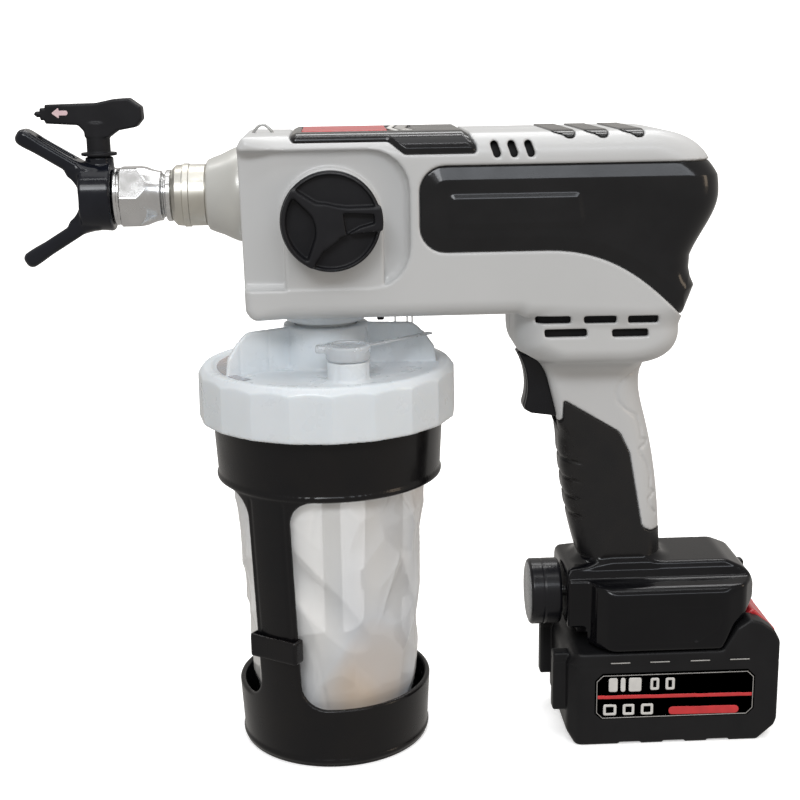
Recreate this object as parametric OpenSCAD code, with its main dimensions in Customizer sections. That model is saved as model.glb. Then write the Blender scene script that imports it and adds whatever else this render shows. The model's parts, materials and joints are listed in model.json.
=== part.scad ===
// Cordless airless paint sprayer, millimetres, +Z up.
// The origin is on the floor, at the centre of the cup holder's base. The nozzle points along -X.

/* [Pump and nozzle] */
// Height of the nozzle and outlet axis above the floor
axis_z = 296; // [294:0.5:298]
// Across flats of the guard nut
nut_af = 29; // [27:0.5:30]
// Radius of the outlet nipple that the guard nut screws on
nipple_r = 11; // [10.5:0.1:11.2]
// How far the spray guard's wings open from the axis, in degrees
wing_angle = 33; // [25:1:36]

/* [Housing] */
// Half width of the main barrel
barrel_w = 42; // [41:0.5:43]
// Height of the barrel's underside
barrel_z0 = 237; // [236:0.5:238]
// Height of the barrel's top
barrel_z1 = 326.6; // [326:0.2:328]
// Wall of the moulded shells
wall = 2.4; // [2:0.1:2.8]
// Where the barrel's tail ends
tail_x = 195.4; // [194:0.2:196]
// Depth of the recess round the prime knob
recess_depth = 5; // [4:0.5:6]
// Radius of the prime knob
knob_r = 24.2; // [23:0.2:25]

/* [Cup] */
// Radius of the cup cap
cap_r = 67.6; // [67:0.1:68]
// Height of the cap's top face
cap_z1 = 208.5; // [208:0.5:209]
// Height of the cap skirt's lower edge
cap_z0 = 180.7; // [180:0.1:182]
// Flats round the cap's grip skirt
cap_flats = 20; // [18:1:22]
// Outer radius of the holder's upper ring
ring_r = 61.5; // [61:0.1:62]
// Outer radius of the holder's base
base_r = 50.5; // [50:0.1:51]
// Direction of the holder's front pillar, in degrees from +X
pillar_dir = 236; // [225:1:240]

/* [Battery] */
// Length of the battery pack
pack_l = 116; // [112:1:116]
// Half width of the battery pack
pack_w = 37.5; // [37:0.5:38]
// Where the pack's front face is
pack_x0 = 122.5; // [122:0.5:123]

/* [Gears] */
// Gear module
gear_m = 0.8; // [0.8:0.1:0.8]
// Teeth of the sun pinion
sun_n = 12; // [12:1:12]
// Teeth of each planet gear
planet_n = 18; // [18:1:18]

/* [Hidden] */
$fn = 64;
gap = 0.2;

ring_n = sun_n + 2 * planet_n;
planet_orbit = gear_m * (sun_n + planet_n) / 2;
motor_z = 284;
motor_x0 = 104;
motor_x1 = 162;
shaft_r = 2.5;
sun_x0 = 87;
sun_x1 = 97;
plate_x0 = 74;
planet_pin_r = 2;
cam_offset = 3;
cam_bearing_r = 11;
plunger_x = 65.5;
plunger_r = 5;
plunger_z0 = 249;
plunger_z1 = motor_z - cam_offset - cam_bearing_r - 0.5;
pump_x0 = -34;
pump_w = 33;
pump_z0 = 243;
pump_z1 = 321;
passage_r = 3;
inlet_bore = 7;
inlet_r = 21.5;
spigot_r = 16;
suction_r = 5;
return_r = 2.8;
return_x = 10.8;
valve_r = 6;
knob_stem_r = 4;
knob_x = 4.2;
knob_z = 287;
knob_y0 = -38.4;
knob_y1 = -58;
nose_r = 24;
coupling_r = 15.5;
guard_hub_r = 9.4;
tip_x = -111.5;
tip_r = 5.5;
wing_l = 31;
wing_w = 10;
handle_w = 18;
handle_z0 = 98;
belly_w = 38;
cover_t = 2;
trim_t = 2;
sleeve_t = 1.8;
label_x0 = -11;
label_x1 = 34;
vent_x = [84.5, 92.8, 101];
insert_x = [118.5, 138.5, 155.5];
belly_slots = [[105, 232, 122.5], [129, 231.8, 145.5], [151, 231.6, 166.5], [109.5, 225, 131],
    [143.5, 224.4, 162]];
slot_h = 4.2;
screw_places = [[84, 246], [110, 317], [181, 303], [171, 222], [142, 214], [158, 118]];
spout_x = 11;
spout_y = -41;
web_dirs = [-3.3, 208.4];
spout_r = 7;
cap_in_r = ring_r + 0.4;
pillar_w = 12.5;
fillet_r = 13;
window_z0 = 33;
window_z1 = 148;
socket_z0 = 60;
socket_z1 = 72.5;
holder_t = 3;
dial_z = 75.5;
dial_shaft_r = 3;
pack_x1 = pack_x0 + pack_l;
pack_z1 = 52.5;
latch_x0 = 222;
latch_w = 24;
label_px0 = 138;
label_px1 = 224;
// The holder widens evenly from its base to its ring.
function holder_r(z) = base_r + (ring_r - 1 - base_r) * min(z, 180) / 180;
shell_colour = "gainsboro";
black = "#17181b";
white = "#eef1f4";

// ---------- helpers ----------

// Extrudes a (Y, Z) shape along X.
module along_x(x0, x1) translate([x0, 0, 0]) rotate([90, 0, 90]) linear_extrude(x1 - x0) children();

// Extrudes an (X, Z) shape along Y.
module along_y(y0, y1) translate([0, y1, 0]) rotate([90, 0, 0]) linear_extrude(y1 - y0) children();

module x_rod(r, x0, x1, z, y = 0, fn = 64) translate([x0, y, z]) rotate([0, 90, 0])
    cylinder(r = r, h = x1 - x0, $fn = fn);

module y_rod(r, y0, y1, x, z) translate([x, y1, z]) rotate([90, 0, 0]) cylinder(r = r, h = y1 - y0);

module z_rod(r, z0, z1, x = 0, y = 0) translate([x, y, z0]) cylinder(r = r, h = z1 - z0);

module box(lo, hi) translate(lo) cube(hi - lo);

function arc(c, r, a0, a1, n = 6) = [for (i = [0:n]) let (a = a0 + (a1 - a0) * i / n)
    c + r * [cos(a), sin(a)]];

function bezier(p, n = 8) = [for (i = [1:n]) let (t = i / n, s = 1 - t)
    s * s * s * p[0] + 3 * s * s * t * p[1] + 3 * s * t * t * p[2] + t * t * t * p[3]];

// Points of a rectangle with round corners, in 2D.
function round_rect(lo, hi, r, n = 6) = concat(
    arc([hi[0] - r, hi[1] - r], r, 0, 90, n), arc([lo[0] + r, hi[1] - r], r, 90, 180, n),
    arc([lo[0] + r, lo[1] + r], r, 180, 270, n), arc([hi[0] - r, lo[1] + r], r, 270, 360, n));

// ---------- housing outlines, in (X, Z) ----------

// The barrel's side view, moved in by t from the outside.
function barrel_outline(t) = concat(
    [[-34 + t, barrel_z0 + t], [-37.5 + t, barrel_z0 + 4 + t]],
    [[-41 + t, barrel_z1 - 5 - t], [-38 + t, barrel_z1 - t], [150, barrel_z1 - t]],
    bezier([[150, barrel_z1 - t], [176 - t, barrel_z1 - t], [tail_x - 1.5 - t, 316], [tail_x - t, 297]]),
    bezier([[tail_x - t, 297], [tail_x + 1 - t, 286], [185.5 - t, 276], [181 - t, 265]], 6),
    bezier([[181 - t, 265], [180.5 - t, 257], [185.5 - t, 254], [185.5 - t, 249]], 4),
    [[179 - t, 231], [100, barrel_z0 - 2], [96.5, barrel_z0 + t]]);

// The flared belly between barrel and handle.
function belly_outline(t) = concat(
    [[96.5 + t, barrel_z0 + 6], [96.5 + t, 224]],
    bezier([[96.5 + t, 224], [96.7 + t, 213 + t], [102, 210 + t], [110, 209.5 + t]], 5),
    [[158, 209 + t]],
    bezier([[158, 209 + t], [173, 209 + t], [181.5 - t, 216], [179 - t, 231]], 6),
    [[179 - t, barrel_z0 + 6]]);

// The handle's side view.
function handle_outline(t) = concat(
    [[105 + t, 216], [112 + t, 205], [118 + t, 186], [121.5 + t, 170]],
    bezier([[121.5 + t, 170], [123 + t, 145], [127 + t, 120], [135 + t, handle_z0]], 5),
    [[178 - t, handle_z0]],
    bezier([[178 - t, handle_z0], [177 - t, 120], [176 - t, 145], [167 - t, 178]], 6),
    bezier([[167 - t, 178], [163 - t, 192], [162 - t, 200], [172 - t, 216]], 6));

// Plan outline of the barrel, its tail's corners cut back in two steps.
function barrel_plan(w) = [[-50, -w], [tail_x - 20, -w], [tail_x - 6, -w + 8], [tail_x + 2, -w + 20],
    [tail_x + 2, w - 20], [tail_x - 6, w - 8], [tail_x - 20, w], [-50, w]];

module barrel_body(t) intersection() {
    along_y(-barrel_w + t, barrel_w - t) polygon(barrel_outline(t));
    linear_extrude(400) offset(delta = -t) polygon(barrel_plan(barrel_w));
    along_x(-50, 210) polygon(round_rect([-barrel_w + t, 225 + t], [barrel_w - t, barrel_z1 - t], 13 - t));
}

module belly_body(t) intersection() {
    along_y(-belly_w + t, belly_w - t) polygon(belly_outline(t));
    along_x(80, 210) polygon(round_rect([-belly_w + t, 209 + t], [belly_w - t, 280], 9 - t));
}

module handle_body(t) intersection() {
    along_y(-handle_w + t, handle_w - t) polygon(handle_outline(t));
    translate([158, 0, 90]) rotate([0, -9, 0]) linear_extrude(140)
        polygon(round_rect([-36, -handle_w + t], [26 - t, handle_w - t], 10 - t, 5));
}

// The part of the handle that the soft black sleeve covers, in (X, Z).
module grip_region() polygon(concat([[100, 166], [119.6, 166], [121.4, 189.5], [154, 171.5]],
    bezier([[154, 171.5], [159, 168], [162, 165], [163, 160]], 4),
    bezier([[163, 160], [166, 148], [171, 125], [173.5, 112]], 3),
    bezier([[173.5, 112], [174.5, 107], [176, 105.5], [190, 105.5]], 3), [[190, 90], [100, 90]]));

// Where the prime knob sits: open at the front, round at the back.
module recess_shape() polygon(concat(
    [[-50, 252.5]], arc([22.6, 272.5], 20, -90, 0), arc([22.6, 300], 20, 0, 90), [[-50, 320]]));

// Outline of the black side cover, wrapping to the barrel's rear.
module cover_shape() polygon(concat(
    arc([58.5, 300.3], 11, 180, 90), [[199, 311.3], [205, 290], [205, 255], [186.5, 249.5], [178.5, 234.5]],
    bezier([[178.5, 234.5], [164, 247], [145, 269.5], [112, 269.5]], 7),
    arc([58.5, 280.5], 11, 270, 180)));

module trim_shape() polygon([[-14.5, 325.3], [-11, barrel_z1 + 1.3], [75, barrel_z1 + 1.3], [75, 317.3],
    [40.5, 317.3], [33, 323.4], [-13, 323.4]]);

module trigger_opening() polygon([[90, 212.5], [121, 212.5], [125, 190], [131.5, 172], [90, 172]]);

// A shape in (X, Z) pressed into one side of the barrel to a depth.
module side_cut(side, depth) along_y(side < 0 ? -60 : barrel_w - depth, side < 0 ? -barrel_w + depth : 60)
    children();

// The ring of barrel that lies between two offsets, cut to the cover's outline.
module cover_skin(side) intersection() {
    difference() {
        barrel_body(0);
        barrel_body(cover_t);
    }
    side_cut(side, 24) cover_shape();
}

module trim_skin() intersection() {
    along_y(-60, 60) trim_shape();
    difference() {
        along_x(-20, 80) polygon(round_rect([-barrel_w, 225], [barrel_w, barrel_z1 + 1.3], 13));
        along_x(-20, 80) polygon(round_rect([-barrel_w + trim_t, 225], [barrel_w - trim_t, barrel_z1 - trim_t], 11));
    }
}

module insert_block(x) intersection() {
    along_x(x - 3.5, x + 3.5) square([2 * barrel_w, 800], center = true);
    difference() {
        barrel_body(-0.5);
        barrel_body(1.6);
    }
    box([x - 5, -41, 322], [x + 5, 41, 340]);
}

module vent_slot(x) box([x - 1.8, -60, 314.5], [x + 1.8, 60, 322.5]);

module belly_slot(s) along_y(-60, 60)
    polygon([[s[0], s[1]], [s[2], s[1]], [s[2], s[1] + slot_h], [s[0], s[1] + slot_h]]);

// Everything that is cut from the shells.
module housing_cuts(side) {
    side_cut(side, recess_depth) recess_shape();
    cover_skin(side);
    trim_skin();
    for (x = vent_x) vent_slot(x);
    for (x = insert_x) insert_block(x);
    for (s = belly_slots) belly_slot(s);
    along_y(-9.4, 9.4) trigger_opening();
    x_rod(nose_r + gap, -60, -30, axis_z);
    z_rod(inlet_r + gap, 220, 245);
    y_rod(knob_stem_r + 3, -60, 0, knob_x, knob_z);
    intersection() {
        difference() {
            handle_body(-1);
            handle_body(sleeve_t);
        }
        along_y(-60, 60) grip_region();
    }
}

module screw_bosses(side) intersection() {
    for (p = screw_places) y_rod(4, side < 0 ? -60 : 0, side < 0 ? 0 : 60, p[0], p[1]);
    union() {
        barrel_body(recess_depth);
        belly_body(1);
        handle_body(sleeve_t + 1);
    }
}

module housing_shell(side) difference() {
    intersection() {
        union() {
            difference() {
                union() {
                    barrel_body(0);
                    belly_body(0);
                    handle_body(0);
                }
                box([pump_x0 - gap, -pump_w - gap, pump_z0 - gap], [48, pump_w + gap, pump_z1 + gap]);
                difference() {
                    barrel_body(cover_t + wall);
                    box([-60, -60, 200], [47, 60, 340]);
                }
                belly_body(wall);
                handle_body(sleeve_t + wall);
            }
            screw_bosses(side);
        }
        box([-60, side < 0 ? -60 : 0, 90], [260, side < 0 ? 0 : 60, 340]);
    }
    housing_cuts(side);
    for (p = screw_places) {
        y_rod(1.6, -11, 18, p[0], p[1]);
        y_rod(3.6, 9, 60, p[0], p[1]);
    }
}

module housing_left() color(shell_colour) housing_shell(-1);
module housing_right() color(shell_colour) housing_shell(1);

module housing_screws() color("silver") for (p = screw_places) difference() {
    union() {
        y_rod(1.55, -10.5, 9.5, p[0], p[1]);
        y_rod(3.2, 9.2, 11.6, p[0], p[1]);
    }
    y_rod(1.2, 10.4, 13, p[0], p[1]);
}

module side_cover(side) color(black) difference() {
    intersection() {
        cover_skin(side);
        box([40, side < 0 ? -60 : 0.1, 200], [210, side < 0 ? -0.1 : 60, 340]);
    }
    side_cut(side, 1) polygon(round_rect([60.7, 280.5], [126.5, 298.4], 4));
}

module side_cover_left() side_cover(-1);
module side_cover_right() side_cover(1);

module top_trim() color(black) difference() {
    trim_skin();
    box([label_x0, -14, barrel_z1 + 0.5], [label_x1, 14, barrel_z1 + 5]);
}

module top_label() color("firebrick") box([label_x0, -14, barrel_z1 + 0.5], [label_x1, 14, barrel_z1 + 1.3]);

module top_inserts() color(black) for (x = insert_x) insert_block(x);

module grip_overmould() color(black) difference() {
    intersection() {
        handle_body(0);
        along_y(-60, 60) grip_region();
    }
    handle_body(sleeve_t);
    along_y(-9.4, 9.4) trigger_opening();
}

module hanging_eye() color("silver") difference() {
    translate([-30, 0, barrel_z1]) along_y(-1.5, 1.5) polygon(arc([0, 0], 5, 0, 180, 10));
    y_rod(3, -4, 4, -30, barrel_z1);
}

// ---------- pump ----------

module nose_cone() color("lightgray") difference() {
    union() {
        translate([-40, 0, axis_z]) rotate([0, -90, 0]) cylinder(r1 = nose_r, r2 = 18, h = 17);
        x_rod(nose_r, -40, pump_x0, axis_z);
    }
    x_rod(coupling_r + gap, -60, -50, axis_z);
    x_rod(passage_r, -60, 0, axis_z);
}

module outlet_coupling() color("silver") difference() {
    union() {
        x_rod(coupling_r, -75.6, -50, axis_z);
        x_rod(coupling_r + 0.8, -69, -67.5, axis_z);
    }
    x_rod(passage_r, -80, -48, axis_z);
}

module outlet_nipple() color("silver") difference() {
    union() {
        x_rod(nipple_r, -90, -78.5, axis_z);
        x_rod(13, -78.5, -75.6, axis_z);
    }
    x_rod(passage_r, -95, -70, axis_z);
}

module guard_nut() color("silver") difference() {
    union() {
        x_rod(16.4, -104.7, -102.5, axis_z);
        intersection() {
            x_rod(nut_af / sqrt(3), -102.5, -91.8, axis_z, fn = 6);
            x_rod(nut_af / sqrt(3) - 0.4, -103, -91, axis_z);
        }
        translate([-80.7, 0, axis_z]) rotate([0, -90, 0]) cylinder(r1 = 13.6, r2 = nut_af / 2, h = 11.1);
    }
    x_rod(nipple_r + 0.06, -91, -80, axis_z);
    x_rod(guard_hub_r + 0.06, -110, -90, axis_z);
}

// One wing of the spray guard, s is 1 for the upper and -1 for the lower.
module guard_wing(s) along_y(-wing_w, wing_w) polygon([for (p = [
    [-106, 17.3], [-121, 16.2], [-121 - wing_l * cos(wing_angle), 14.5 + wing_l * sin(wing_angle)],
    [-124.4 - wing_l * cos(wing_angle), 12 + wing_l * sin(wing_angle)],
    [-122.5 - wing_l * cos(wing_angle), 6 + wing_l * sin(wing_angle)],
    [-131, 8.5], [-125, 5], [-121.5, 0], [-106, 0]]) [p[0], axis_z + s * p[1]]]);

module tip_guard() color(black) difference() {
    union() {
        x_rod(17.5, -121, -105, axis_z);
        guard_wing(1);
        guard_wing(-1);
        x_rod(guard_hub_r, -105, -92, axis_z);
        z_rod(tip_r + 1, axis_z + 12, axis_z + 20.5, tip_x);
    }
    z_rod(tip_r + 0.05, axis_z - 12, axis_z + 30, tip_x);
    x_rod(3, -130, -80, axis_z);
    x_rod(6, -98, -80, axis_z);
}

module tip_key() color(black) difference() {
    union() {
        z_rod(tip_r, axis_z - 11.5, 334, tip_x);
        z_rod(7.5, axis_z + 21, 331, tip_x);
        along_y(-6, 6) polygon([[-142, 338.6], [-139.5, 335.8], [-135.5, 335.8], [-135.5, 333.6], [-120, 331.5],
            [-104, 328.4], [-92.4, 328.4], [-88.5, 333], [-88.5, 338.5], [-94.4, 344.6], [-112, 344.6],
            [-135.5, 342.4], [-135.5, 340.6], [-139.5, 340.6]]);
    }
    x_rod(2.5, -122, -100, axis_z);
}

module tip_orifice() color("dimgray") difference() {
    x_rod(2.5, tip_x - 4, tip_x + 4, axis_z);
    x_rod(0.6, tip_x - 6, tip_x + 6, axis_z);
}

module tip_seal() color("darkorange") difference() {
    x_rod(5.9, -97.8, -90.2, axis_z);
    x_rod(2, -99, -80, axis_z);
}

module pump_block() color("lightgray") difference() {
    union() {
        box([pump_x0, -pump_w, pump_z0], [44, pump_w, pump_z1]);
        box([44, -13, pump_z0], [plunger_x + 8, 13, 262]);
    }
    z_rod(inlet_bore, 240, 266);
    x_rod(passage_r, pump_x0 - 1, 20, axis_z);
    x_rod(6.5, pump_x0 - 1, -18, axis_z);
    x_rod(passage_r, 0, plunger_x, 252);
    z_rod(plunger_r + 0.05, 247, 263, plunger_x);
    y_rod(valve_r + 0.05, -40, -10, knob_x, knob_z);
    z_rod(return_r + 0.05, 240, 280, return_x);
    for (y = [-24, 24], z = [252, 312]) x_rod(2, 30, 50, z, y);
}

module inlet_collar() color(white) difference() {
    union() {
        z_rod(inlet_r, 231, 243);
        z_rod(spigot_r, 212, 231);
    }
    z_rod(suction_r + 0.02, 205, 250);
    z_rod(return_r + 0.02, 205, 250, return_x);
}

module inlet_ball() color("silver") translate([0, 0, 258]) sphere(r = 5);
module outlet_ball() color("silver") translate([-26, 0, axis_z]) sphere(r = 5);

module plunger() color("silver") union() {
    z_rod(plunger_r, plunger_z0, plunger_z1, plunger_x);
    z_rod(plunger_r + 2.8, plunger_z1 - 1.6, plunger_z1, plunger_x);
}

// A round wire wound along +Z, from z = 0 to length.
module coil_spring(radius, wire, turns, length, steps = 14, sides = 6) {
    count = turns * steps;
    ring = [for (i = [0:count]) for (k = [0:sides - 1]) let (
        a = 360 * i / steps, b = 360 * k / sides, r = radius + wire * cos(b))
        [r * cos(a), r * sin(a), wire + (length - 2 * wire) * i / count + wire * sin(b)]];
    walls = [for (i = [0:count - 1]) for (k = [0:sides - 1]) let (n = (k + 1) % sides)
        [i * sides + k, i * sides + n, (i + 1) * sides + n, (i + 1) * sides + k]];
    caps = [[for (k = [sides - 1:-1:0]) k], [for (k = [0:sides - 1]) count * sides + k]];
    polyhedron(ring, concat(walls, caps), convexity = 10);
}

module plunger_spring() color("silver") translate([plunger_x, 0, 262.2])
    coil_spring(6.6, 0.6, 3, plunger_z1 - 1.6 - 262.4);

module prime_valve_stem() color("silver") union() {
    y_rod(valve_r, -36, -11, knob_x, knob_z);
    y_rod(knob_stem_r, knob_y0 - 6, -36, knob_x, knob_z);
}

// The knob: a dished disc with a raised grip bar of three arms.
module prime_knob() color(black) difference() {
    union() {
        difference() {
            union() {
                y_rod(knob_r, knob_y1, knob_y1 + 8, knob_x, knob_z);
                y_rod(knob_r - 4, knob_y1, knob_y0, knob_x, knob_z);
            }
            y_rod(knob_r - 3, knob_y1 - 1, knob_y1 + 5, knob_x, knob_z);
        }
        along_y(knob_y1, knob_y1 + 6) translate([knob_x, knob_z]) for (a = [5, 141, 245]) rotate(a)
            polygon([[0, -4], [knob_r - 1, -6], [knob_r - 1, 6], [0, 4]]);
        along_y(knob_y1, knob_y1 + 8) translate([knob_x, knob_z])
            polygon([[10, -5], [knob_r + 1.5, -6], [knob_r + 1.5, 6], [10, 5]]);
    }
    y_rod(knob_stem_r, knob_y0 - 6, knob_y0 + 1, knob_x, knob_z);
}

module suction_tube() color("ghostwhite") difference() {
    z_rod(suction_r, 30, 249);
    z_rod(suction_r - 1.5, 29, 250);
}

module inlet_strainer() color("gray") difference() {
    union() {
        z_rod(11, 24, 34);
        z_rod(8, 34, 42);
    }
    z_rod(suction_r, 30, 43);
    z_rod(9, 22, 28);
}

module return_tube() color("ghostwhite") difference() {
    z_rod(return_r, 150, 262, return_x);
    z_rod(return_r - 0.9, 149, 263, return_x);
}

// ---------- cup ----------

module cup_cap() color(white) difference() {
    union() {
        intersection() {
            rotate_extrude() polygon([[0, cap_z0], [cap_r, cap_z0], [cap_r, cap_z1 - 5],
                [cap_r - 4, cap_z1 - 0.5], [cap_r - 7, cap_z1], [0, cap_z1]]);
            linear_extrude(300) polygon([for (i = [0:cap_flats - 1]) let (a = 360 * i / cap_flats + 2.3)
                (cap_r + 0.5) * [cos(a), sin(a)]]);
        }
        z_rod(22, 200, 229);
        z_rod(10.5, 200, 217, spout_x, spout_y);
        for (a = web_dirs) rotate([0, 0, a]) along_y(-1.3, 1.3) polygon(
            [[19, 206], [19, 228.8], [45, 228.4], [51, 223.5], [57, 215.5], [57.6, 206]]);
    }
    rotate_extrude() polygon([[0, cap_z0 - 1], [cap_in_r, cap_z0 - 1], [cap_in_r, cap_z1 - 6.5],
        [cap_in_r - 4, cap_z1 - 3], [0, cap_z1 - 3]]);
    z_rod(spigot_r + 0.06, 200, 240);
    z_rod(spout_r, 200, 230, spout_x, spout_y);
}

module cap_gasket() color("gray") difference() {
    z_rod(cap_in_r - 4.2, cap_z1 - 5.4, cap_z1 - 3);
    z_rod(cap_in_r - 14, 200, 210);
}

module vent_plug() color(white) difference() {
    union() {
        z_rod(11.3, 217.3, 225, spout_x, spout_y);
        z_rod(spout_r - 0.05, 207, 217.3, spout_x, spout_y);
        box([spout_x - 16, spout_y - 4, 221], [spout_x, spout_y + 4, 224.2]);
    }
    z_rod(5, 200, 222, spout_x, spout_y);
}

// The plug's tether, from the plug's rim to the end of the right web.
module plug_strap() color(white) translate([spout_x, spout_y, 222]) rotate([0, 0, 40.5])
    box([11.6, -1.5, 0], [57, 1.5, 1]);

// A cup's wall as a rotated (radius, Z) profile, thickness t inwards.
module liner_bag() color([0.85, 0.9, 0.95, 0.5]) rotate_extrude() polygon([
    [0, 14], [34, 14], [43, 20], [46, 34], [49, 90], [54.5, 150], [56, 178], [56, 201.6], [59.5, 201.6],
    [59.5, 202.6], [54.8, 202.6], [54.8, 178], [53.3, 150], [47.8, 90], [44.8, 34], [42, 21.5], [34, 15.4],
    [0, 15.4]]);

module holder_wall(z0, z1) rotate_extrude() polygon([
    [holder_r(z0), z0], [holder_r(z1), z1], [holder_r(z1) - holder_t, z1], [holder_r(z0) - holder_t, z0]]);

// Cuts both windows on one side of the pillars, k. They end at height zf with a fillet, and reach z_end.
module window_cut(k, zf, z_end) {
    s = zf > z_end ? 1 : -1;
    translate([-90, 0, 0]) rotate([90, 0, 90]) linear_extrude(180) polygon([for (p = concat(
        [[pillar_w, z_end]],
        [for (i = [0:6]) [pillar_w + fillet_r * (1 - cos(15 * i)), zf - s * fillet_r * (1 - sin(15 * i))]],
        [[90, zf], [90, z_end]])) [k * p[0], p[1]]]);
}

module cup_holder_ring() color(black) rotate([0, 0, pillar_dir]) difference() {
    holder_wall(socket_z0 + 2, 201.3);
    for (k = [-1, 1]) window_cut(k, window_z1, socket_z0 - 5);
}

module cup_holder_base() color(black) rotate([0, 0, pillar_dir]) difference() {
    union() {
        difference() {
            rotate_extrude() polygon([[0, 0], [base_r - 3, 0], [base_r - 1, 1.5], [holder_r(64), 64],
                [holder_r(64) - holder_t, 64], [holder_r(4) - holder_t, 4], [0, 4]]);
            for (k = [-1, 1]) window_cut(k, window_z0, 90);
        }
        for (a = [0, 180]) rotate([0, 0, a]) box(
            [holder_r(66) - holder_t - 2.2, -pillar_w - 2, socket_z0],
            [holder_r(66) + 2.8, pillar_w + 2, socket_z1]);
    }
    for (a = [0, 180]) rotate([0, 0, a]) box([holder_r(60) - holder_t - 0.9, -pillar_w - 0.3, socket_z0 + 1.5],
        [holder_r(80) + 0.4, pillar_w + 0.3, socket_z1 + 5]);
}

// ---------- motor and gears ----------

module motor_can() color("silver") difference() {
    x_rod(24, motor_x0, motor_x1, motor_z);
    x_rod(21.5, motor_x0 + 3, motor_x1 - 3, motor_z);
    x_rod(shaft_r + 0.05, motor_x0 - 5, motor_x1 + 5, motor_z);
    for (a = [45:90:315]) translate([motor_x1 - 4, 16 * cos(a), motor_z + 16 * sin(a)]) rotate([0, 90, 0])
        cylinder(r = 3.5, h = 8);
}

module motor_rotor() color("gray") union() {
    x_rod(shaft_r, sun_x0 - 2, motor_x1 + 12, motor_z);
    x_rod(17.5, motor_x0 + 12, motor_x1 - 18, motor_z);
    x_rod(8, motor_x1 - 16, motor_x1 - 6, motor_z);
}

module cooling_fan() color(black) difference() {
    union() {
        x_rod(6, motor_x1 + 2, motor_x1 + 10, motor_z);
        x_rod(24, motor_x1 + 2, motor_x1 + 3.5, motor_z);
        for (a = [0:45:315]) translate([motor_x1 + 3, 0, motor_z]) rotate([a, 0, 0])
            translate([0, 5, -0.8]) cube([7, 18, 1.6]);
    }
    x_rod(shaft_r, motor_x1, motor_x1 + 14, motor_z);
}

// One tooth of an involute-like profile: straight flanks between root and tip.
function gear_points(n, clearance = 0.25, slim = 0.12) = let (r = gear_m * n / 2, out = r + gear_m * 0.95,
    root = r - gear_m * (1 + clearance), half = 90 / n, thin = slim / r * 57.3 / 2) [for (i = [0:n - 1])
    for (p = [[root, -1.55], [r, -1], [out, -0.5], [out, 0.5], [r, 1], [root, 1.55]])
    let (a = 360 * i / n + p[1] * half - sign(p[1]) * thin) p[0] * [cos(a), sin(a)]];

function ring_points() = let (r = gear_m * ring_n / 2, tip = r - gear_m * 0.95, root = r + gear_m * 1.25,
    half = 90 / ring_n, thin = 0.12 / r * 57.3 / 2) [for (i = [0:ring_n - 1])
    for (p = [[root, -1.5], [r, -1], [tip, -0.5], [tip, 0.5], [r, 1], [root, 1.5]])
    let (a = 360 * i / ring_n + p[1] * half - sign(p[1]) * thin) p[0] * [cos(a), sin(a)]];

// Places an (angle 0 = +Y) gear outline on the motor axis.
module gear_along_x(x0, x1, dy = 0, dz = 0) translate([x0, dy, motor_z + dz]) rotate([90, 0, 90])
    linear_extrude(x1 - x0) children();

module ring_gear() color("slategray") difference() {
    x_rod(24, plate_x0 + 6, motor_x0, motor_z);
    gear_along_x(sun_x0 - 2, sun_x1 + 2) polygon(ring_points());
    x_rod(18, plate_x0 + 5, sun_x0, motor_z);
    x_rod(20.4, plate_x0 + 5, sun_x0 - 1, motor_z);
    x_rod(20.4, sun_x1 + 1, motor_x0 + 1, motor_z);
}

module sun_gear() color("goldenrod") difference() {
    gear_along_x(sun_x0, sun_x1) polygon(gear_points(sun_n));
    x_rod(shaft_r, sun_x0 - 1, sun_x1 + 1, motor_z);
}

module planet_gear(k) color("lightsteelblue") difference() {
    gear_along_x(sun_x0 + 0.5, sun_x1 - 0.5, planet_orbit * cos(120 * k), planet_orbit * sin(120 * k))
        rotate(180 + 120 * k + 180 / planet_n) polygon(gear_points(planet_n));
    x_rod(planet_pin_r + 0.05, sun_x0 - 1, sun_x1 + 1, motor_z + planet_orbit * sin(120 * k),
        planet_orbit * cos(120 * k));
}

module planet_gear_1() planet_gear(0);
module planet_gear_2() planet_gear(1);
module planet_gear_3() planet_gear(2);

module planet_carrier() color("steelblue") union() {
    x_rod(17, sun_x0 - 6, sun_x0 - 2.5, motor_z);
    for (k = [0:2]) x_rod(planet_pin_r, sun_x0 - 3, sun_x1 - 0.2, motor_z + planet_orbit * sin(120 * k),
        planet_orbit * cos(120 * k));
    x_rod(5, plate_x0 - 2, sun_x0 - 5, motor_z);
    x_rod(8, plate_x0 - 14, plate_x0 - 2, motor_z + cam_offset);
}

module cam_bearing() color("silver") difference() {
    x_rod(cam_bearing_r, plate_x0 - 13, plate_x0 - 4, motor_z + cam_offset);
    x_rod(8, plate_x0 - 20, plate_x0, motor_z + cam_offset);
}

module gearbox_plate() color("silver") difference() {
    x_rod(27, plate_x0, plate_x0 + 6, motor_z);
    x_rod(5.06, plate_x0 - 1, plate_x0 + 7, motor_z);
}

// ---------- trigger, base and battery ----------

module trigger() color(black) along_y(-9, 9) polygon(concat([[100.6, 210.5]],
    bezier([[100.6, 210.5], [104, 203], [105, 190], [105.4, 181]], 6),
    [[107, 178.6], [109.5, 177.2], [123.8, 176], [121, 188], [117, 205], [113.5, 210.5]]));

module trigger_switch() color("dimgray") difference() {
    box([133.5, -8, 178], [150, 8, 204]);
    x_rod(2.5, 130, 138, 191);
}

module trigger_spring() color("silver") translate([121.9, 0, 191]) rotate([0, 90, 0])
    coil_spring(3.4, 0.45, 5, 11.2);

module control_board() color("seagreen") union() {
    box([150, -24, 70], [205, 24, 71.6]);
    box([156, -14, 71.6], [176, 0, 80]);
    z_rod(6, 71.6, 86, 190, 10);
}

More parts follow.
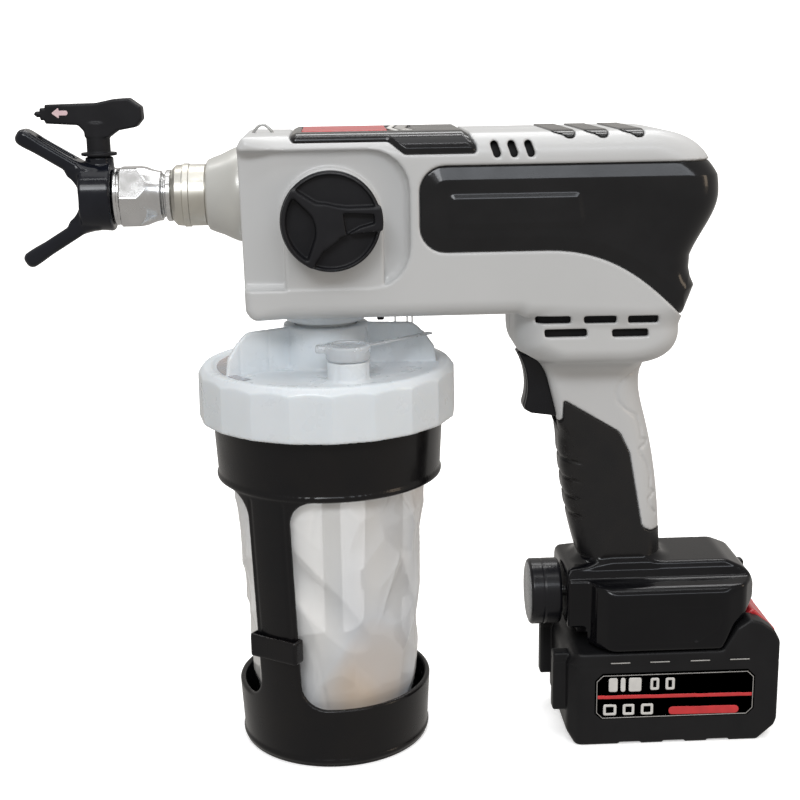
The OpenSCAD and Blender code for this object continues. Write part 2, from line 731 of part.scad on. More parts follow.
function mount_outline() = [[124.5, 63], [124.5, 92], [127, 95], [145, 97], [150, handle_z0], [211, handle_z0],
    [222, 93], [229, 84], [228.5, 77], [222, 72], [214, 66.5], [206.5, pack_z1 + 1], [136, pack_z1 + 1], [134, 63]];

// Plan outline of the base, narrower at the front and tapering at the rear.
function mount_plan() = [[124, -26], [137, -26], [139.5, -31], [147, -38], [207, -38], [219, -33], [226, -22],
    [229, -8], [229, 8], [226, 22], [219, 33], [207, 38], [147, 38], [139.5, 31], [137, 26], [124, 26]];

// The base seen from its front: low shoulders and a raised middle that carries the handle.
function mount_section() = [[-38, 50], [-38, 84], [-36.8, 87], [-34, 88.5], [-24.5, 90], [-21, 94],
    [-19, handle_z0], [19, handle_z0], [21, 94], [24.5, 90], [34, 88.5], [36.8, 87], [38, 84], [38, 50]];

module mount_body(t) intersection() {
    along_y(-38 + t, 38 - t) offset(delta = -t) polygon(mount_outline());
    along_x(120, 240) offset(delta = -t) polygon(mount_section());
    linear_extrude(200) offset(delta = -t) polygon(mount_plan());
}

module battery_mount() color(black) difference() {
    mount_body(0);
    intersection() {
        mount_body(2.5);
        box([120, -40, 66], [240, 40, 120]);
    }
    box([132, -25.2, 50], [250, 25.2, 63.5]);
    x_rod(dial_shaft_r + 0.06, 120, 130, dial_z);
    box([148, -12, handle_z0 - 4], [168, 12, handle_z0 + 1]);
}

module speed_dial() color("#3a3d42") union() {
    x_rod(18, 108, 124, dial_z);
    x_rod(16.5, 106.8, 108, dial_z);
}

module dial_shaft() color("silver") difference() {
    x_rod(dial_shaft_r, 124, 139, dial_z);
    box([136, -4, dial_z + 1.5], [140, 4, dial_z + 5]);
}

module terminal_block() color("dimgray") union() {
    box([133, -11, 55], [139, 11, 63.5]);
    for (y = [-8, 0, 8]) box([139, y - 0.5, 56.5], [147, y + 0.5, 61]);
}

// The pack is taller at its rear, behind the base, where the latch is.
function pack_outline() = [[pack_x0 + 5, 0], [pack_x0 + 1.5, 5], [pack_x0 + 1.5, 46], [pack_x0 + 5, pack_z1],
    [207.2, pack_z1], [214.6, 64.8], [221.5, 69.5], [228, 67.5], [235, 62.5], [pack_x1, 56], [pack_x1, 12],
    [pack_x1 - 2, 8], [pack_x1 - 11, 0]];

module battery_case() color(black) difference() {
    union() {
        intersection() {
            along_y(-pack_w, pack_w) polygon(pack_outline());
            along_x(100, 260) polygon(round_rect([-pack_w, 0], [pack_w, 70], 6));
        }
        for (y = [-23.5, 23.5]) box([pack_x0 - 5.5, y - 4, 17], [pack_x0 + 2, y + 4, 50]);
        box([141, -24.8, 54], [215, 24.8, 62.8]);
        box([141, -24.8, 50], [215, 24.8, 55]);
    }
    box([pack_x0 + 5, -pack_w + 2.5, 3], [pack_x1 - 4, pack_w - 2.5, 45]);
    for (y = [-8, 0, 8]) box([140, y - 1.2, 55.5], [149, y + 1.2, 70]);
    box([latch_x0 - 0.4, -latch_w - 0.4, 48], [250, latch_w + 0.4, 80]);
    for (s = [-1, 1]) box([label_px0, s < 0 ? -40 : pack_w - 0.5, 17.5], [label_px1, s < 0 ? -pack_w + 0.5 : 40, 43]);
}

module battery_cells() color("royalblue") for (i = [0:4], z = [12.6, 31.4])
    y_rod(9.1, -32.5, 32.5, pack_x0 + 20 + 18.7 * i, z);

module battery_label() color("dimgray") for (s = [-1, 1])
    box([label_px0, s < 0 ? -pack_w : pack_w - 0.5, 17.5], [label_px1, s < 0 ? -pack_w + 0.5 : pack_w, 43]);

module battery_latch() color("red") along_y(-latch_w, latch_w)
    polygon([[latch_x0, 51], [latch_x0, 67.5], [226, 71], [pack_x1 + 0.4, 58], [pack_x1 + 0.4, 51]]);

// ---------- assembly ----------
housing_left();
housing_right();
housing_screws();
side_cover_left();
side_cover_right();
top_trim();
top_label();
top_inserts();
grip_overmould();
hanging_eye();
nose_cone();
outlet_coupling();
outlet_nipple();
guard_nut();
tip_guard();
tip_key();
tip_orifice();
tip_seal();
pump_block();
inlet_collar();
inlet_ball();
outlet_ball();
plunger();
plunger_spring();
prime_valve_stem();
prime_knob();
suction_tube();
inlet_strainer();
return_tube();
cup_cap();
cap_gasket();
vent_plug();
plug_strap();
liner_bag();
cup_holder_ring();
cup_holder_base();
motor_can();
motor_rotor();
cooling_fan();
ring_gear();
sun_gear();
planet_gear_1();
planet_gear_2();
planet_gear_3();
planet_carrier();
cam_bearing();
gearbox_plate();
trigger();
trigger_switch();
trigger_spring();
control_board();
battery_mount();
speed_dial();
dial_shaft();
terminal_block();
battery_case();
battery_cells();
battery_label();
battery_latch();
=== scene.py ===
"""Looks of a cordless airless paint sprayer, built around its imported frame.

Shapes are signed distance fields in millimetres, negative inside, in the frame's own axes:
-X is the spray direction, -Y the side with the prime knob, +Z up. Meshes are made in metres.
"""
import json
import math
from functools import reduce

import bmesh
import bpy
import numpy as np
from mathutils import Matrix, Vector

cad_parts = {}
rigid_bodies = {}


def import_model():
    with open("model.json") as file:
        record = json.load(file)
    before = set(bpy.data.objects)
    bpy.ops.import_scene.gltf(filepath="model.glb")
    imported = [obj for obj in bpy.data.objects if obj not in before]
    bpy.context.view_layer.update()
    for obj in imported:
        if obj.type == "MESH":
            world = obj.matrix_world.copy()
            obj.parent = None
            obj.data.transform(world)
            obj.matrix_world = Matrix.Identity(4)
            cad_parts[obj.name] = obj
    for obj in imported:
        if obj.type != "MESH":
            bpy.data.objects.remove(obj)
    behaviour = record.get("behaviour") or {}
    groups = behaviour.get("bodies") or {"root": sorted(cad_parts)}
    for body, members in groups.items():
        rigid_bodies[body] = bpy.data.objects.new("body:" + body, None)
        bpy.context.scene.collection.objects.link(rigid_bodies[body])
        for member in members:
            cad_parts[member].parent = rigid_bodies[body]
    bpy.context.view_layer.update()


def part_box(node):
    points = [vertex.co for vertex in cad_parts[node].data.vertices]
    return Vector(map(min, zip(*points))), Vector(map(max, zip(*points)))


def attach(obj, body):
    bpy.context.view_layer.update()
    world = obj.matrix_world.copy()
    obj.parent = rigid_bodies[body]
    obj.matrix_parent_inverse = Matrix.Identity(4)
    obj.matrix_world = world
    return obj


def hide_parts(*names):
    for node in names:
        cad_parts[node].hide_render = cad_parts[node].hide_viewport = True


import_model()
MM = 0.001
COARSE = 1.0


def box_mm(node):
    """A node's lowest and highest corners in millimetres."""
    low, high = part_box(node)
    return np.array(low) / MM, np.array(high) / MM


def centre_mm(node):
    low, high = box_mm(node)
    return (low + high) / 2


# ---------- signed distance fields ----------

def bezier(p0, p1, p2, p3, n=10):
    """Points along a cubic curve, without its first point."""
    p0, p1, p2, p3 = (np.array(p, float) for p in (p0, p1, p2, p3))
    t = np.linspace(0, 1, n + 1)[1:, None]
    s = 1 - t
    return [tuple(p) for p in s**3 * p0 + 3 * s * s * t * p1 + 3 * s * t * t * p2 + t**3 * p3]


def corners(*points):
    """Outline points, where a third number rounds that corner with about that radius."""
    out = []
    n = len(points)
    for i, p in enumerate(points):
        here = np.array(p[:2], float)
        if len(p) < 3:
            out.append(tuple(here))
            continue
        a = np.array(points[i - 1][:2], float) - here
        b = np.array(points[(i + 1) % n][:2], float) - here
        la, lb = np.linalg.norm(a), np.linalg.norm(b)
        a, b = a / la, b / lb
        half = math.acos(np.clip(a @ b, -1, 1)) / 2
        reach = min(p[2] / math.tan(half), la * 0.49, lb * 0.49)
        start, end = here + a * reach, here + b * reach
        soft = 0.55 * reach
        out.append(tuple(start))
        out += bezier(start, start - a * soft, end - b * soft, end, 6)
    return out


def both_sides(half):
    """Rounded corners of one half, mirrored in their second number, then the half itself in reverse."""
    return [(u, -v, r) for u, v, r in half] + half[::-1]


def outline(points, step=0.2, margin=16.0):
    """Distance in a plane to a closed outline, read from a fine grid worked out once."""
    p = np.array(points, float)
    q = np.roll(p, -1, axis=0)
    low = p.min(axis=0) - margin
    nu, nv = np.ceil((p.max(axis=0) + margin - low) / step).astype(int) + 1
    u, v = (low[0] + step * np.arange(nu))[:, None], (low[1] + step * np.arange(nv))[None, :]
    best, inside = np.full((nu, nv), 1e12), np.zeros((nu, nv), bool)
    for (ax, ay), (bx, by) in zip(p, q):
        ex, ey = bx - ax, by - ay
        long = ex * ex + ey * ey
        if long < 1e-12:
            continue
        wu, wv = u - ax, v - ay
        t = np.clip((wu * ex + wv * ey) / long, 0, 1)
        best = np.minimum(best, (wu - ex * t) ** 2 + (wv - ey * t) ** 2)
        if ey != 0:
            inside ^= ((ay > v) != (by > v)) & (wu < ex * wv / ey)
    table = np.where(inside, -1, 1) * np.sqrt(best)

    def distance(u, v):
        gu, gv = np.clip((u - low[0]) / step, 0, nu - 1.001), np.clip((v - low[1]) / step, 0, nv - 1.001)
        i, j = gu.astype(np.int32), gv.astype(np.int32)
        fu, fv = gu - i, gv - j
        near = (table[i, j] * (1 - fu) + table[i + 1, j] * fu) * (1 - fv) + (
            table[i, j + 1] * (1 - fu) + table[i + 1, j + 1] * fu) * fv
        return near + np.hypot(u - (low[0] + gu * step), v - (low[1] + gv * step))
    return distance


def both(a, b, r=0.0):
    """What lies in a and in b, with the edge between them rounded by r."""
    if np.ndim(r) == 0 and r <= 0:
        return np.maximum(a, b)
    return np.minimum(np.maximum(a, b), -r) + np.hypot(np.maximum(a + r, 0), np.maximum(b + r, 0))


def either(a, b, r=0.0):
    """What lies in a or in b, with a fillet of r between them."""
    return -both(-a, -b, r)


def less(a, b, r=0.0):
    """What is left of a once b is cut away, with the cut's edge rounded by r."""
    return both(a, -b, r)


def ramp(v, low, high):
    """Goes smoothly from 0 at low to 1 at high."""
    t = np.clip((v - low) / (high - low), 0, 1)
    return t * t * (3 - 2 * t)


def slab(v, low, high):
    return np.abs(v - (low + high) / 2) - (high - low) / 2


def rectangle(u, v, low, high, r=0.0):
    return both(slab(u, low[0], high[0]), slab(v, low[1], high[1]), r)


def block(x, y, z, low, high, r=0.0):
    return both(rectangle(x, y, low[:2], high[:2], r), slab(z, low[2], high[2]), r)


def nearest(fields):
    """What lies in any of several fields."""
    return reduce(np.minimum, fields)


def on_line(distance, width):
    """1 on a line, fading to nothing a little past its width."""
    return np.exp(-(distance / width) ** 2)


def capsule(u, v, a, b, r):
    """Distance in a plane to a line from a to b with round ends."""
    eu, ev = b[0] - a[0], b[1] - a[1]
    t = np.clip(((u - a[0]) * eu + (v - a[1]) * ev) / (eu * eu + ev * ev), 0, 1)
    return np.hypot(u - a[0] - eu * t, v - a[1] - ev * t) - r


# ---------- from a field to a mesh ----------

CUBE_CORNERS = [(i, j, k) for i in (0, 1) for j in (0, 1) for k in (0, 1)]
CUBE_EDGES = [(a, b) for a in CUBE_CORNERS for b in CUBE_CORNERS
              if a < b and sum(abs(p - q) for p, q in zip(a, b)) == 1]


def surface_net(values, origin, cell):
    """One vertex in each cell that the surface crosses, and a quad round each crossed grid edge."""
    inside = values < 0
    nx, ny, nz = (n - 1 for n in values.shape)
    count = np.zeros((nx, ny, nz), np.int8)
    for i, j, k in CUBE_CORNERS:
        count += inside[i:nx + i, j:ny + j, k:nz + k]
    active = (count > 0) & (count < 8)
    cells = np.argwhere(active)
    index = np.full(active.shape, -1, np.int64)
    index[active] = np.arange(len(cells))
    at = {c: values[cells[:, 0] + c[0], cells[:, 1] + c[1], cells[:, 2] + c[2]] for c in CUBE_CORNERS}
    total, hits = np.zeros((len(cells), 3)), np.zeros(len(cells))
    for a, b in CUBE_EDGES:
        va, vb = at[a], at[b]
        crossed = (va < 0) != (vb < 0)
        t = np.where(crossed, va / np.where(crossed, va - vb, 1), 0)
        point = np.array(a) + t[:, None] * (np.array(b) - np.array(a))
        total += np.where(crossed[:, None], point, 0)
        hits += crossed
    points = origin + (cells + total / hits[:, None]) * cell
    quads = []
    for axis in range(3):
        u, v = (axis + 1) % 3, (axis + 2) % 3
        lower = [slice(1, -1)] * 3
        upper = [slice(1, -1)] * 3
        lower[axis], upper[axis] = slice(0, -1), slice(1, None)
        starts = inside[tuple(lower)]
        changed = np.argwhere(starts != inside[tuple(upper)])
        forward = starts[tuple(changed.T)]
        base = changed.copy()
        base[:, u] += 1
        base[:, v] += 1
        ring = []
        for du, dv in ((-1, -1), (0, -1), (0, 0), (-1, 0)):
            c = base.copy()
            c[:, u] += du
            c[:, v] += dv
            ring.append(index[tuple(c.T)])
        ring = np.stack(ring, axis=1)
        ring[~forward] = ring[~forward][:, ::-1]
        quads.append(ring)
    return points, np.concatenate(quads)


def settle(points, field, cell):
    """Moves points onto the field's surface."""
    small = 0.02
    for _ in range(3):
        here = field(*points.T)
        slope = np.stack([(field(*(points + step).T) - here) / small for step in np.eye(3) * small], axis=1)
        size = np.maximum((slope**2).sum(axis=1), 1e-6)
        move = here[:, None] * slope / size[:, None]
        far = np.linalg.norm(move, axis=1, keepdims=True)
        points = points - move * np.minimum(1, 0.4 * cell / np.maximum(far, 1e-9))
    return points


def add_object(name, data):
    item = bpy.data.objects.new(name, data)
    bpy.context.collection.objects.link(item)
    return item


def smooth(mesh):
    mesh.polygons.foreach_set("use_smooth", np.ones(len(mesh.polygons), bool))


def mesh_object(name, points, faces):
    """A smooth-shaded mesh object from points in millimetres and faces with four corners."""
    mesh = bpy.data.meshes.new(name)
    points, faces = np.asarray(points, float) * MM, np.asarray(faces, np.int32)
    n, sides = faces.shape
    mesh.vertices.add(len(points))
    mesh.vertices.foreach_set("co", points.ravel())
    mesh.loops.add(n * sides)
    mesh.loops.foreach_set("vertex_index", faces.ravel())
    mesh.polygons.add(n)
    mesh.polygons.foreach_set("loop_start", np.arange(0, n * sides, sides, dtype=np.int32))
    mesh.polygons.foreach_set("loop_total", np.full(n, sides, np.int32))
    mesh.update(calc_edges=True)
    smooth(mesh)
    return add_object(name, mesh)


def finish_piece(piece, body, material, replaces=()):
    """Gives a piece its material, its body and the CAD nodes that it stands for."""
    piece.data.materials.clear()
    piece.data.materials.append(material)
    if body:
        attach(piece, body)
    if replaces:
        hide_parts(*replaces)
    return piece


def moulded(name, field, low, high, cell):
    """A mesh object of a field, within a box in millimetres."""
    cell = cell * COARSE
    low, high = np.array(low, float) - 2 * cell, np.array(high, float) + 2 * cell
    axes = [np.arange(low[i], high[i] + cell, cell) for i in range(3)]
    shape = tuple(len(a) for a in axes)
    x, y, z = axes[0][:, None, None], axes[1][None, :, None], axes[2][None, None, :]
    values = np.ascontiguousarray(np.broadcast_to(field(x, y, z), shape))
    points, quads = surface_net(values, low, cell)
    points = settle(points, field, cell)
    return mesh_object(name, points, quads)


def mirrored(piece, name):
    """A copy of a piece on the other side of the plane Y = 0."""
    mesh = piece.data.copy()
    mesh.transform(Matrix.Scale(-1, 4, (0, 1, 0)))
    mesh.flip_normals()
    return add_object(name, mesh)


def turned(name, profile, centre, axis="X"):
    """A solid turned from (along, radius) points round an axis through centre, with crisp edges."""
    steps = 96
    angle = np.linspace(0, 2 * math.pi, steps, endpoint=False)
    points, faces = [], []
    n = len(profile)
    for along, radius in profile:
        a = np.full(steps, along)
        u, v = radius * np.cos(angle), radius * np.sin(angle)
        ring = {"X": (a, u, v), "Y": (v, a, u), "Z": (u, v, a)}[axis]
        points.append(np.stack(ring, axis=1) + np.array(centre))
    for i in range(n):
        j = (i + 1) % n
        if profile[i][1] < 1e-6 and profile[j][1] < 1e-6:
            continue
        for k in range(steps):
            m = (k + 1) % steps
            faces.append((i * steps + k, i * steps + m, j * steps + m, j * steps + k))
    piece = mesh_object(name, np.concatenate(points), faces)
    tidy_mesh(piece)
    piece.data.set_sharp_from_angle(angle=math.radians(28))
    return piece


def tidy_mesh(piece):
    """Joins points that lie on each other and turns every face outwards."""
    gap = 0.001 * MM
    work = bmesh.new()
    work.from_mesh(piece.data)
    bmesh.ops.remove_doubles(work, verts=work.verts, dist=gap)
    bmesh.ops.dissolve_degenerate(work, dist=gap, edges=work.edges)
    bmesh.ops.recalc_face_normals(work, faces=work.faces)
    work.to_mesh(piece.data)
    work.free()


def tube(name, points, radius):
    """A round wire along a smooth path through points in millimetres."""
    curve = bpy.data.curves.new(name, "CURVE")
    curve.dimensions = "3D"
    curve.bevel_depth = radius * MM
    curve.bevel_resolution = 3
    curve.resolution_u = 8
    curve.use_fill_caps = True
    line = curve.splines.new("BEZIER")
    line.bezier_points.add(len(points) - 1)
    for knot, place in zip(line.bezier_points, points):
        knot.co = Vector(place) * MM
        knot.handle_left_type = knot.handle_right_type = "AUTO"
    wire = add_object(name, curve)
    view = bpy.context.evaluated_depsgraph_get()
    mesh = bpy.data.meshes.new_from_object(wire.evaluated_get(view))
    bpy.data.objects.remove(wire)
    piece = add_object(name, mesh)
    smooth(mesh)
    tidy_mesh(piece)
    return piece


# ---------- materials ----------

def noise(tree, where, scale, detail=4.0, rough=0.55, stretch=None):
    """A noise texture in object space, its scale in repeats per metre."""
    node = tree.nodes.new("ShaderNodeTexNoise")
    node.inputs["Scale"].default_value = scale
    node.inputs["Detail"].default_value = detail
    node.inputs["Roughness"].default_value = rough
    if stretch:
        turn = tree.nodes.new("ShaderNodeMapping")
        turn.inputs["Scale"].default_value = stretch
        tree.links.new(where, turn.inputs["Vector"])
        where = turn.outputs["Vector"]
    tree.links.new(where, node.inputs["Vector"])
    return node.outputs["Fac"]


def remap(tree, value, low, high, to_low, to_high):
    node = tree.nodes.new("ShaderNodeMapRange")
    for socket, number in zip(("From Min", "From Max", "To Min", "To Max"), (low, high, to_low, to_high)):
        node.inputs[socket].default_value = number
    tree.links.new(value, node.inputs["Value"])
    return node.outputs["Result"]


def mix_colour(tree, factor, a, b):
    node = tree.nodes.new("ShaderNodeMix")
    node.data_type = "RGBA"
    for socket, value in (("Factor", factor), ("A", a), ("B", b)):
        socket = next(s for s in node.inputs if s.name == socket and s.type in ("VALUE",
                "RGBA") and s.enabled)
        if isinstance(value, bpy.types.NodeSocket):
            tree.links.new(value, socket)
        else:
            socket.default_value = value if isinstance(value, float) else (*value, 1)
    return next(s for s in node.outputs if s.type == "RGBA")


def finish_material(name, colour, second=None, rough=0.4, rough_spread=0.06, patch=60.0, grain=900.0,
                    depth=0.03, metal=0.0, coat=0.0, wear=None, wear_amount=0.5, streak=None, **plain):
    """Moulded, painted or machined surface.

    Colour drifts between two tones, roughness varies in patches, and fine grain of the given depth
    in millimetres shows as bump. wear is the colour that rubbed edges go to.
    """
    item = bpy.data.materials.new(name)
    item.use_nodes = True
    tree = item.node_tree
    shader = tree.nodes["Principled BSDF"]
    where = tree.nodes.new("ShaderNodeTexCoord").outputs["Object"]
    second = second or tuple(c * 0.9 for c in colour)
    tone = noise(tree, where, patch, 5.0)
    base = mix_colour(tree, remap(tree, tone, 0.35, 0.65, 0.0, 1.0), colour, second)
    if wear:
        edge = tree.nodes.new("ShaderNodeNewGeometry").outputs["Pointiness"]
        rubbed = remap(tree, edge, 0.53, 0.60, 0.0, 1.0)
        broken = remap(tree, noise(tree, where, patch * 6, 6.0, 0.7), 0.42, 0.62, 0.0, wear_amount)
        both_of = tree.nodes.new("ShaderNodeMath")
        both_of.operation = "MULTIPLY"
        tree.links.new(rubbed, both_of.inputs[0])
        tree.links.new(broken, both_of.inputs[1])
        base = mix_colour(tree, both_of.outputs[0], base, wear)
    tree.links.new(base, shader.inputs["Base Color"])
    uneven = noise(tree, where, patch * 2.3, 6.0, 0.6, streak)
    tree.links.new(remap(tree, uneven, 0.3, 0.7, max(rough - rough_spread, 0.02), rough + rough_spread),
                   shader.inputs["Roughness"])
    height = noise(tree, where, grain, 3.0, 0.6, streak)
    bump = tree.nodes.new("ShaderNodeBump")
    bump.inputs["Strength"].default_value = 1.0
    bump.inputs["Distance"].default_value = depth * MM
    tree.links.new(height, bump.inputs["Height"])
    tree.links.new(bump.outputs["Normal"], shader.inputs["Normal"])
    shader.inputs["Metallic"].default_value = metal
    shader.inputs["Coat Weight"].default_value = coat
    for socket, value in plain.items():
        shader.inputs[socket.replace("_", " ")].default_value = value
    return item


def film_material(name):
    """Thin clear film: what is behind shows through, with gloss on its folds and painted blue and amber
    reflections in its colour.
    """
    item = bpy.data.materials.new(name)
    item.use_nodes = True
    tree = item.node_tree
    shader = tree.nodes["Principled BSDF"]
    where = tree.nodes.new("ShaderNodeTexCoord").outputs["Object"]
    # painted reflections: blue and amber patches in the colour stand in for the room reflected in the film
    blue_reflection_noise = noise(tree, where, 16, 2.0, 0.4, (1, 1, 0.5))
    amber_reflection_mask = remap(tree, noise(tree, where, 13, 2.0, 0.4, (1, 1, 0.6)), 0.54, 0.66, 0.0, 0.6)
    pale = mix_colour(tree, remap(tree, blue_reflection_noise, 0.42, 0.66, 0.0, 1.0), (0.95, 0.945, 0.93), (0.74, 0.79, 0.87))
    tree.links.new(mix_colour(tree, amber_reflection_mask, pale, (0.90, 0.62, 0.34)), shader.inputs["Base Color"])
    tree.links.new(remap(tree, noise(tree, where, 90, 4.0), 0.3, 0.7, 0.05, 0.16), shader.inputs["Roughness"])
    shader.inputs["Specular IOR Level"].default_value = 0.9
    shader.inputs["Coat Weight"].default_value = 0.6
    shader.inputs["Coat Roughness"].default_value = 0.04
    clear = tree.nodes.new("ShaderNodeBsdfTransparent")
    clear.inputs["Color"].default_value = (0.97, 0.98, 0.99, 1)
    edge = tree.nodes.new("ShaderNodeLayerWeight")
    edge.inputs["Blend"].default_value = 0.35
    haze = remap(tree, edge.outputs["Facing"], 0.0, 1.0, 0.68, 0.94)
    join = tree.nodes.new("ShaderNodeMixShader")
    tree.links.new(haze, join.inputs[0])
    tree.links.new(clear.outputs[0], join.inputs[1])
    tree.links.new(shader.outputs[0], join.inputs[2])
    tree.links.new(join.outputs[0], tree.nodes["Material Output"].inputs["Surface"])
    return item


SHELL = finish_material("shell_paint", (0.56, 0.563, 0.565), (0.525, 0.53, 0.53), rough=0.33, patch=9,
                        grain=2600, depth=0.012, coat=0.15, wear=(0.74, 0.73, 0.70), wear_amount=0.25,
                        Coat_Roughness=0.2, Specular_IOR_Level=0.45)
CAST = finish_material("cast_paint", (0.58, 0.575, 0.54), (0.52, 0.52, 0.50), rough=0.34, patch=30,
                       grain=1500, depth=0.02, metal=0.25, coat=0.3, wear=(0.75, 0.72, 0.66),
                       Coat_Roughness=0.2)
GLOSS = finish_material("gloss_black", (0.0055, 0.0055, 0.0065), (0.009, 0.009, 0.010), rough=0.20,
                        patch=35, grain=220, depth=0.006, coat=0.28, wear=(0.04, 0.04, 0.04),
                        Coat_Roughness=0.05, Specular_IOR_Level=0.2)
SATIN = finish_material("satin_black", (0.006, 0.006, 0.008), (0.010, 0.010, 0.012), rough=0.30,
                        patch=40, grain=1700, depth=0.02, coat=0.15, wear=(0.05, 0.05, 0.055),
                        Coat_Roughness=0.12, Specular_IOR_Level=0.2)
MATTE = finish_material("matte_black", (0.009, 0.009, 0.011), (0.013, 0.013, 0.015), rough=0.46,
                        rough_spread=0.07, patch=50, grain=2200, wear=(0.06, 0.06, 0.065),
                        Specular_IOR_Level=0.2)
RUBBER = finish_material("grip_rubber", (0.008, 0.008, 0.009), (0.012, 0.011, 0.011), rough=0.28,
                         rough_spread=0.08, patch=45, grain=2400, wear=(0.04, 0.038, 0.036),
                         Specular_IOR_Level=0.35)
MOUNT = finish_material("mount_black", (0.0015, 0.0015, 0.0025), (0.003, 0.003, 0.004), rough=0.17,
                        rough_spread=0.05, patch=35, depth=0.008, coat=0.2, wear=(0.03, 0.03, 0.035),
                        Coat_Roughness=0.06, Specular_IOR_Level=0.18)
PACK = finish_material("pack_black", (0.008, 0.008, 0.009), (0.011, 0.011, 0.012), rough_spread=0.07,
                       patch=45, grain=2600, depth=0.035, wear=(0.05, 0.05, 0.05), Specular_IOR_Level=0.22)
HOLDER = finish_material("holder_black", (0.004, 0.004, 0.005), (0.007, 0.006, 0.006), rough=0.24,
                         rough_spread=0.07, patch=30, grain=500, depth=0.02, coat=0.15,
                         wear=(0.05, 0.04, 0.036), Coat_Roughness=0.1, Specular_IOR_Level=0.2)
GUARD = finish_material("guard_black", (0.006, 0.007, 0.011), (0.009, 0.010, 0.015), rough=0.17,
                        grain=500, depth=0.012, coat=0.2, wear=(0.05, 0.05, 0.06), Coat_Roughness=0.08,
                        Specular_IOR_Level=0.2)
WHITE = finish_material("milky_plastic", (0.76, 0.80, 0.84), (0.72, 0.77, 0.81), rough=0.30, patch=22,
                        grain=1300, depth=0.02, coat=0.15, Coat_Roughness=0.15, Subsurface_Weight=0.35,
                        Subsurface_Radius=(0.006, 0.007, 0.008), Subsurface_Scale=1.0)
CLEARER = finish_material("thin_milky_plastic", (0.76, 0.80, 0.84), (0.72, 0.76, 0.80), rough=0.26, patch=30,
                          grain=1300, depth=0.015, Transmission_Weight=0.35, Subsurface_Weight=0.3,
                          Subsurface_Radius=(0.006, 0.007, 0.008), Subsurface_Scale=1.0)
NICKEL = finish_material("satin_nickel", (0.62, 0.60, 0.54), (0.54, 0.53, 0.49), rough=0.36,
                         patch=70, depth=0.010, metal=1.0, wear=(0.78, 0.75, 0.68), streak=(1, 0.1, 0.1))
STEEL = finish_material("polished_steel", (0.66, 0.66, 0.66), (0.58, 0.58, 0.58), rough=0.24,
                        patch=70, grain=1500, depth=0.008, metal=1.0, wear=(0.9, 0.9, 0.9))
WIRE = finish_material("wire_steel", (0.50, 0.50, 0.48), (0.42, 0.42, 0.42), rough=0.35, patch=200,
                       grain=3000, depth=0.01, metal=0.9)
RED = finish_material("red_plastic", (0.56, 0.028, 0.035), (0.47, 0.022, 0.030), rough=0.32, patch=50,
                      grain=1800, depth=0.015, coat=0.3, wear=(0.60, 0.10, 0.09), Coat_Roughness=0.12)
PRINT_RED = finish_material("printed_red", (0.66, 0.040, 0.045), (0.56, 0.034, 0.038), rough=0.35, patch=160,
                            grain=3500, depth=0.006)
PRINT_WHITE = finish_material("printed_white", (0.72, 0.71, 0.68), (0.64, 0.63, 0.61), patch=200,
                              grain=3500, depth=0.006)
PRINT_PINK = finish_material("printed_pink", (0.78, 0.60, 0.61), (0.70, 0.50, 0.53), rough=0.35, patch=200,
                             grain=3500, depth=0.006)
SILVER_LINE = finish_material("silver_line", (0.42, 0.41, 0.39), (0.34, 0.33, 0.32), rough=0.32, patch=200,
                              grain=3500, depth=0.004, metal=0.2)
# black for the painted shade inside the vent slots
SHADE_BLACK = finish_material("unlit_black", (0.004, 0.004, 0.005), (0.006, 0.006, 0.006), rough=0.6, patch=80,
                       grain=1500, depth=0.02, Specular_IOR_Level=0.15)
# grey face of the dial, made lighter to paint in the reflection that its flat face shows
DIAL_GREY_AND_REFLECTION = finish_material("dial_face_grey_and_painted_reflection", (0.26, 0.27, 0.28), (0.20, 0.21, 0.22), rough=0.28,
                       rough_spread=0.08, grain=1600, depth=0.015, metal=0.3, coat=0.3,
                       Coat_Roughness=0.15)
FOIL = finish_material("foil_ring", (0.62, 0.56, 0.56), (0.50, 0.52, 0.56), rough=0.25, rough_spread=0.1,
                       grain=700, metal=0.7)
FILM = film_material("clear_film")


# ---------- the shell: barrel, belly and handle ----------

shell_low, shell_high = box_mm("housing_left")
WIDE, FRONT, TOP = -shell_low[1], shell_low[0], shell_high[2]
AXIS = centre_mm("outlet_nipple")[2]
TAIL = min(box_mm("side_cover_left")[1][0], 195.4)
HAND = box_mm("housing_left")[0][2]
LIP_X, LIP_Z = TAIL - 9.8, 250.0

BARREL = outline(corners(
    (-35.5, 237, 5), (-38.8, 242, 4), (FRONT + 0.8, TOP - 5, 4), (FRONT + 3.5, TOP, 3), (160, TOP),
    *bezier((160, TOP), (181, TOP - 0.4), (TAIL - 0.4, 317.5), (TAIL, 297), 24),
    *bezier((TAIL, 297), (TAIL + 0.8, 286), (185.5, 276), (181.2, 265), 20),
    (180.6, 256, 8), (LIP_X, LIP_Z, 1.6), (178.4, 231, 6), (100, 235, 2), (96.5, 237)))
BELLY = outline(corners(
    (96.5, 246), (96.5, 224), *bezier((96.5, 224), (96.7, 213), (102, 210), (110, 209.5), 12), (158, 209),
    *bezier((158, 209), (173, 209), (182, 216), (178.8, 232), 14), (174, 246)))
HANDLE = outline(corners(
    (105, 222), *bezier((106, 216), (113, 205), (118, 188), (121.5, 170), 12),
    *bezier((121.5, 170), (123, 145), (127, 120), (134, HAND), 12), (136, 90), (180, 90), (178, HAND),
    *bezier((178, HAND), (177, 120), (176, 145), (168, 176), 14),
    *bezier((168, 176), (163.5, 192), (162.5, 200), (170, 213), 12), (176, 222)))
RECESS = outline(corners((-60, 252.5), (42.6, 252.5, 20), (42.6, 320, 20), (-60, 320)))
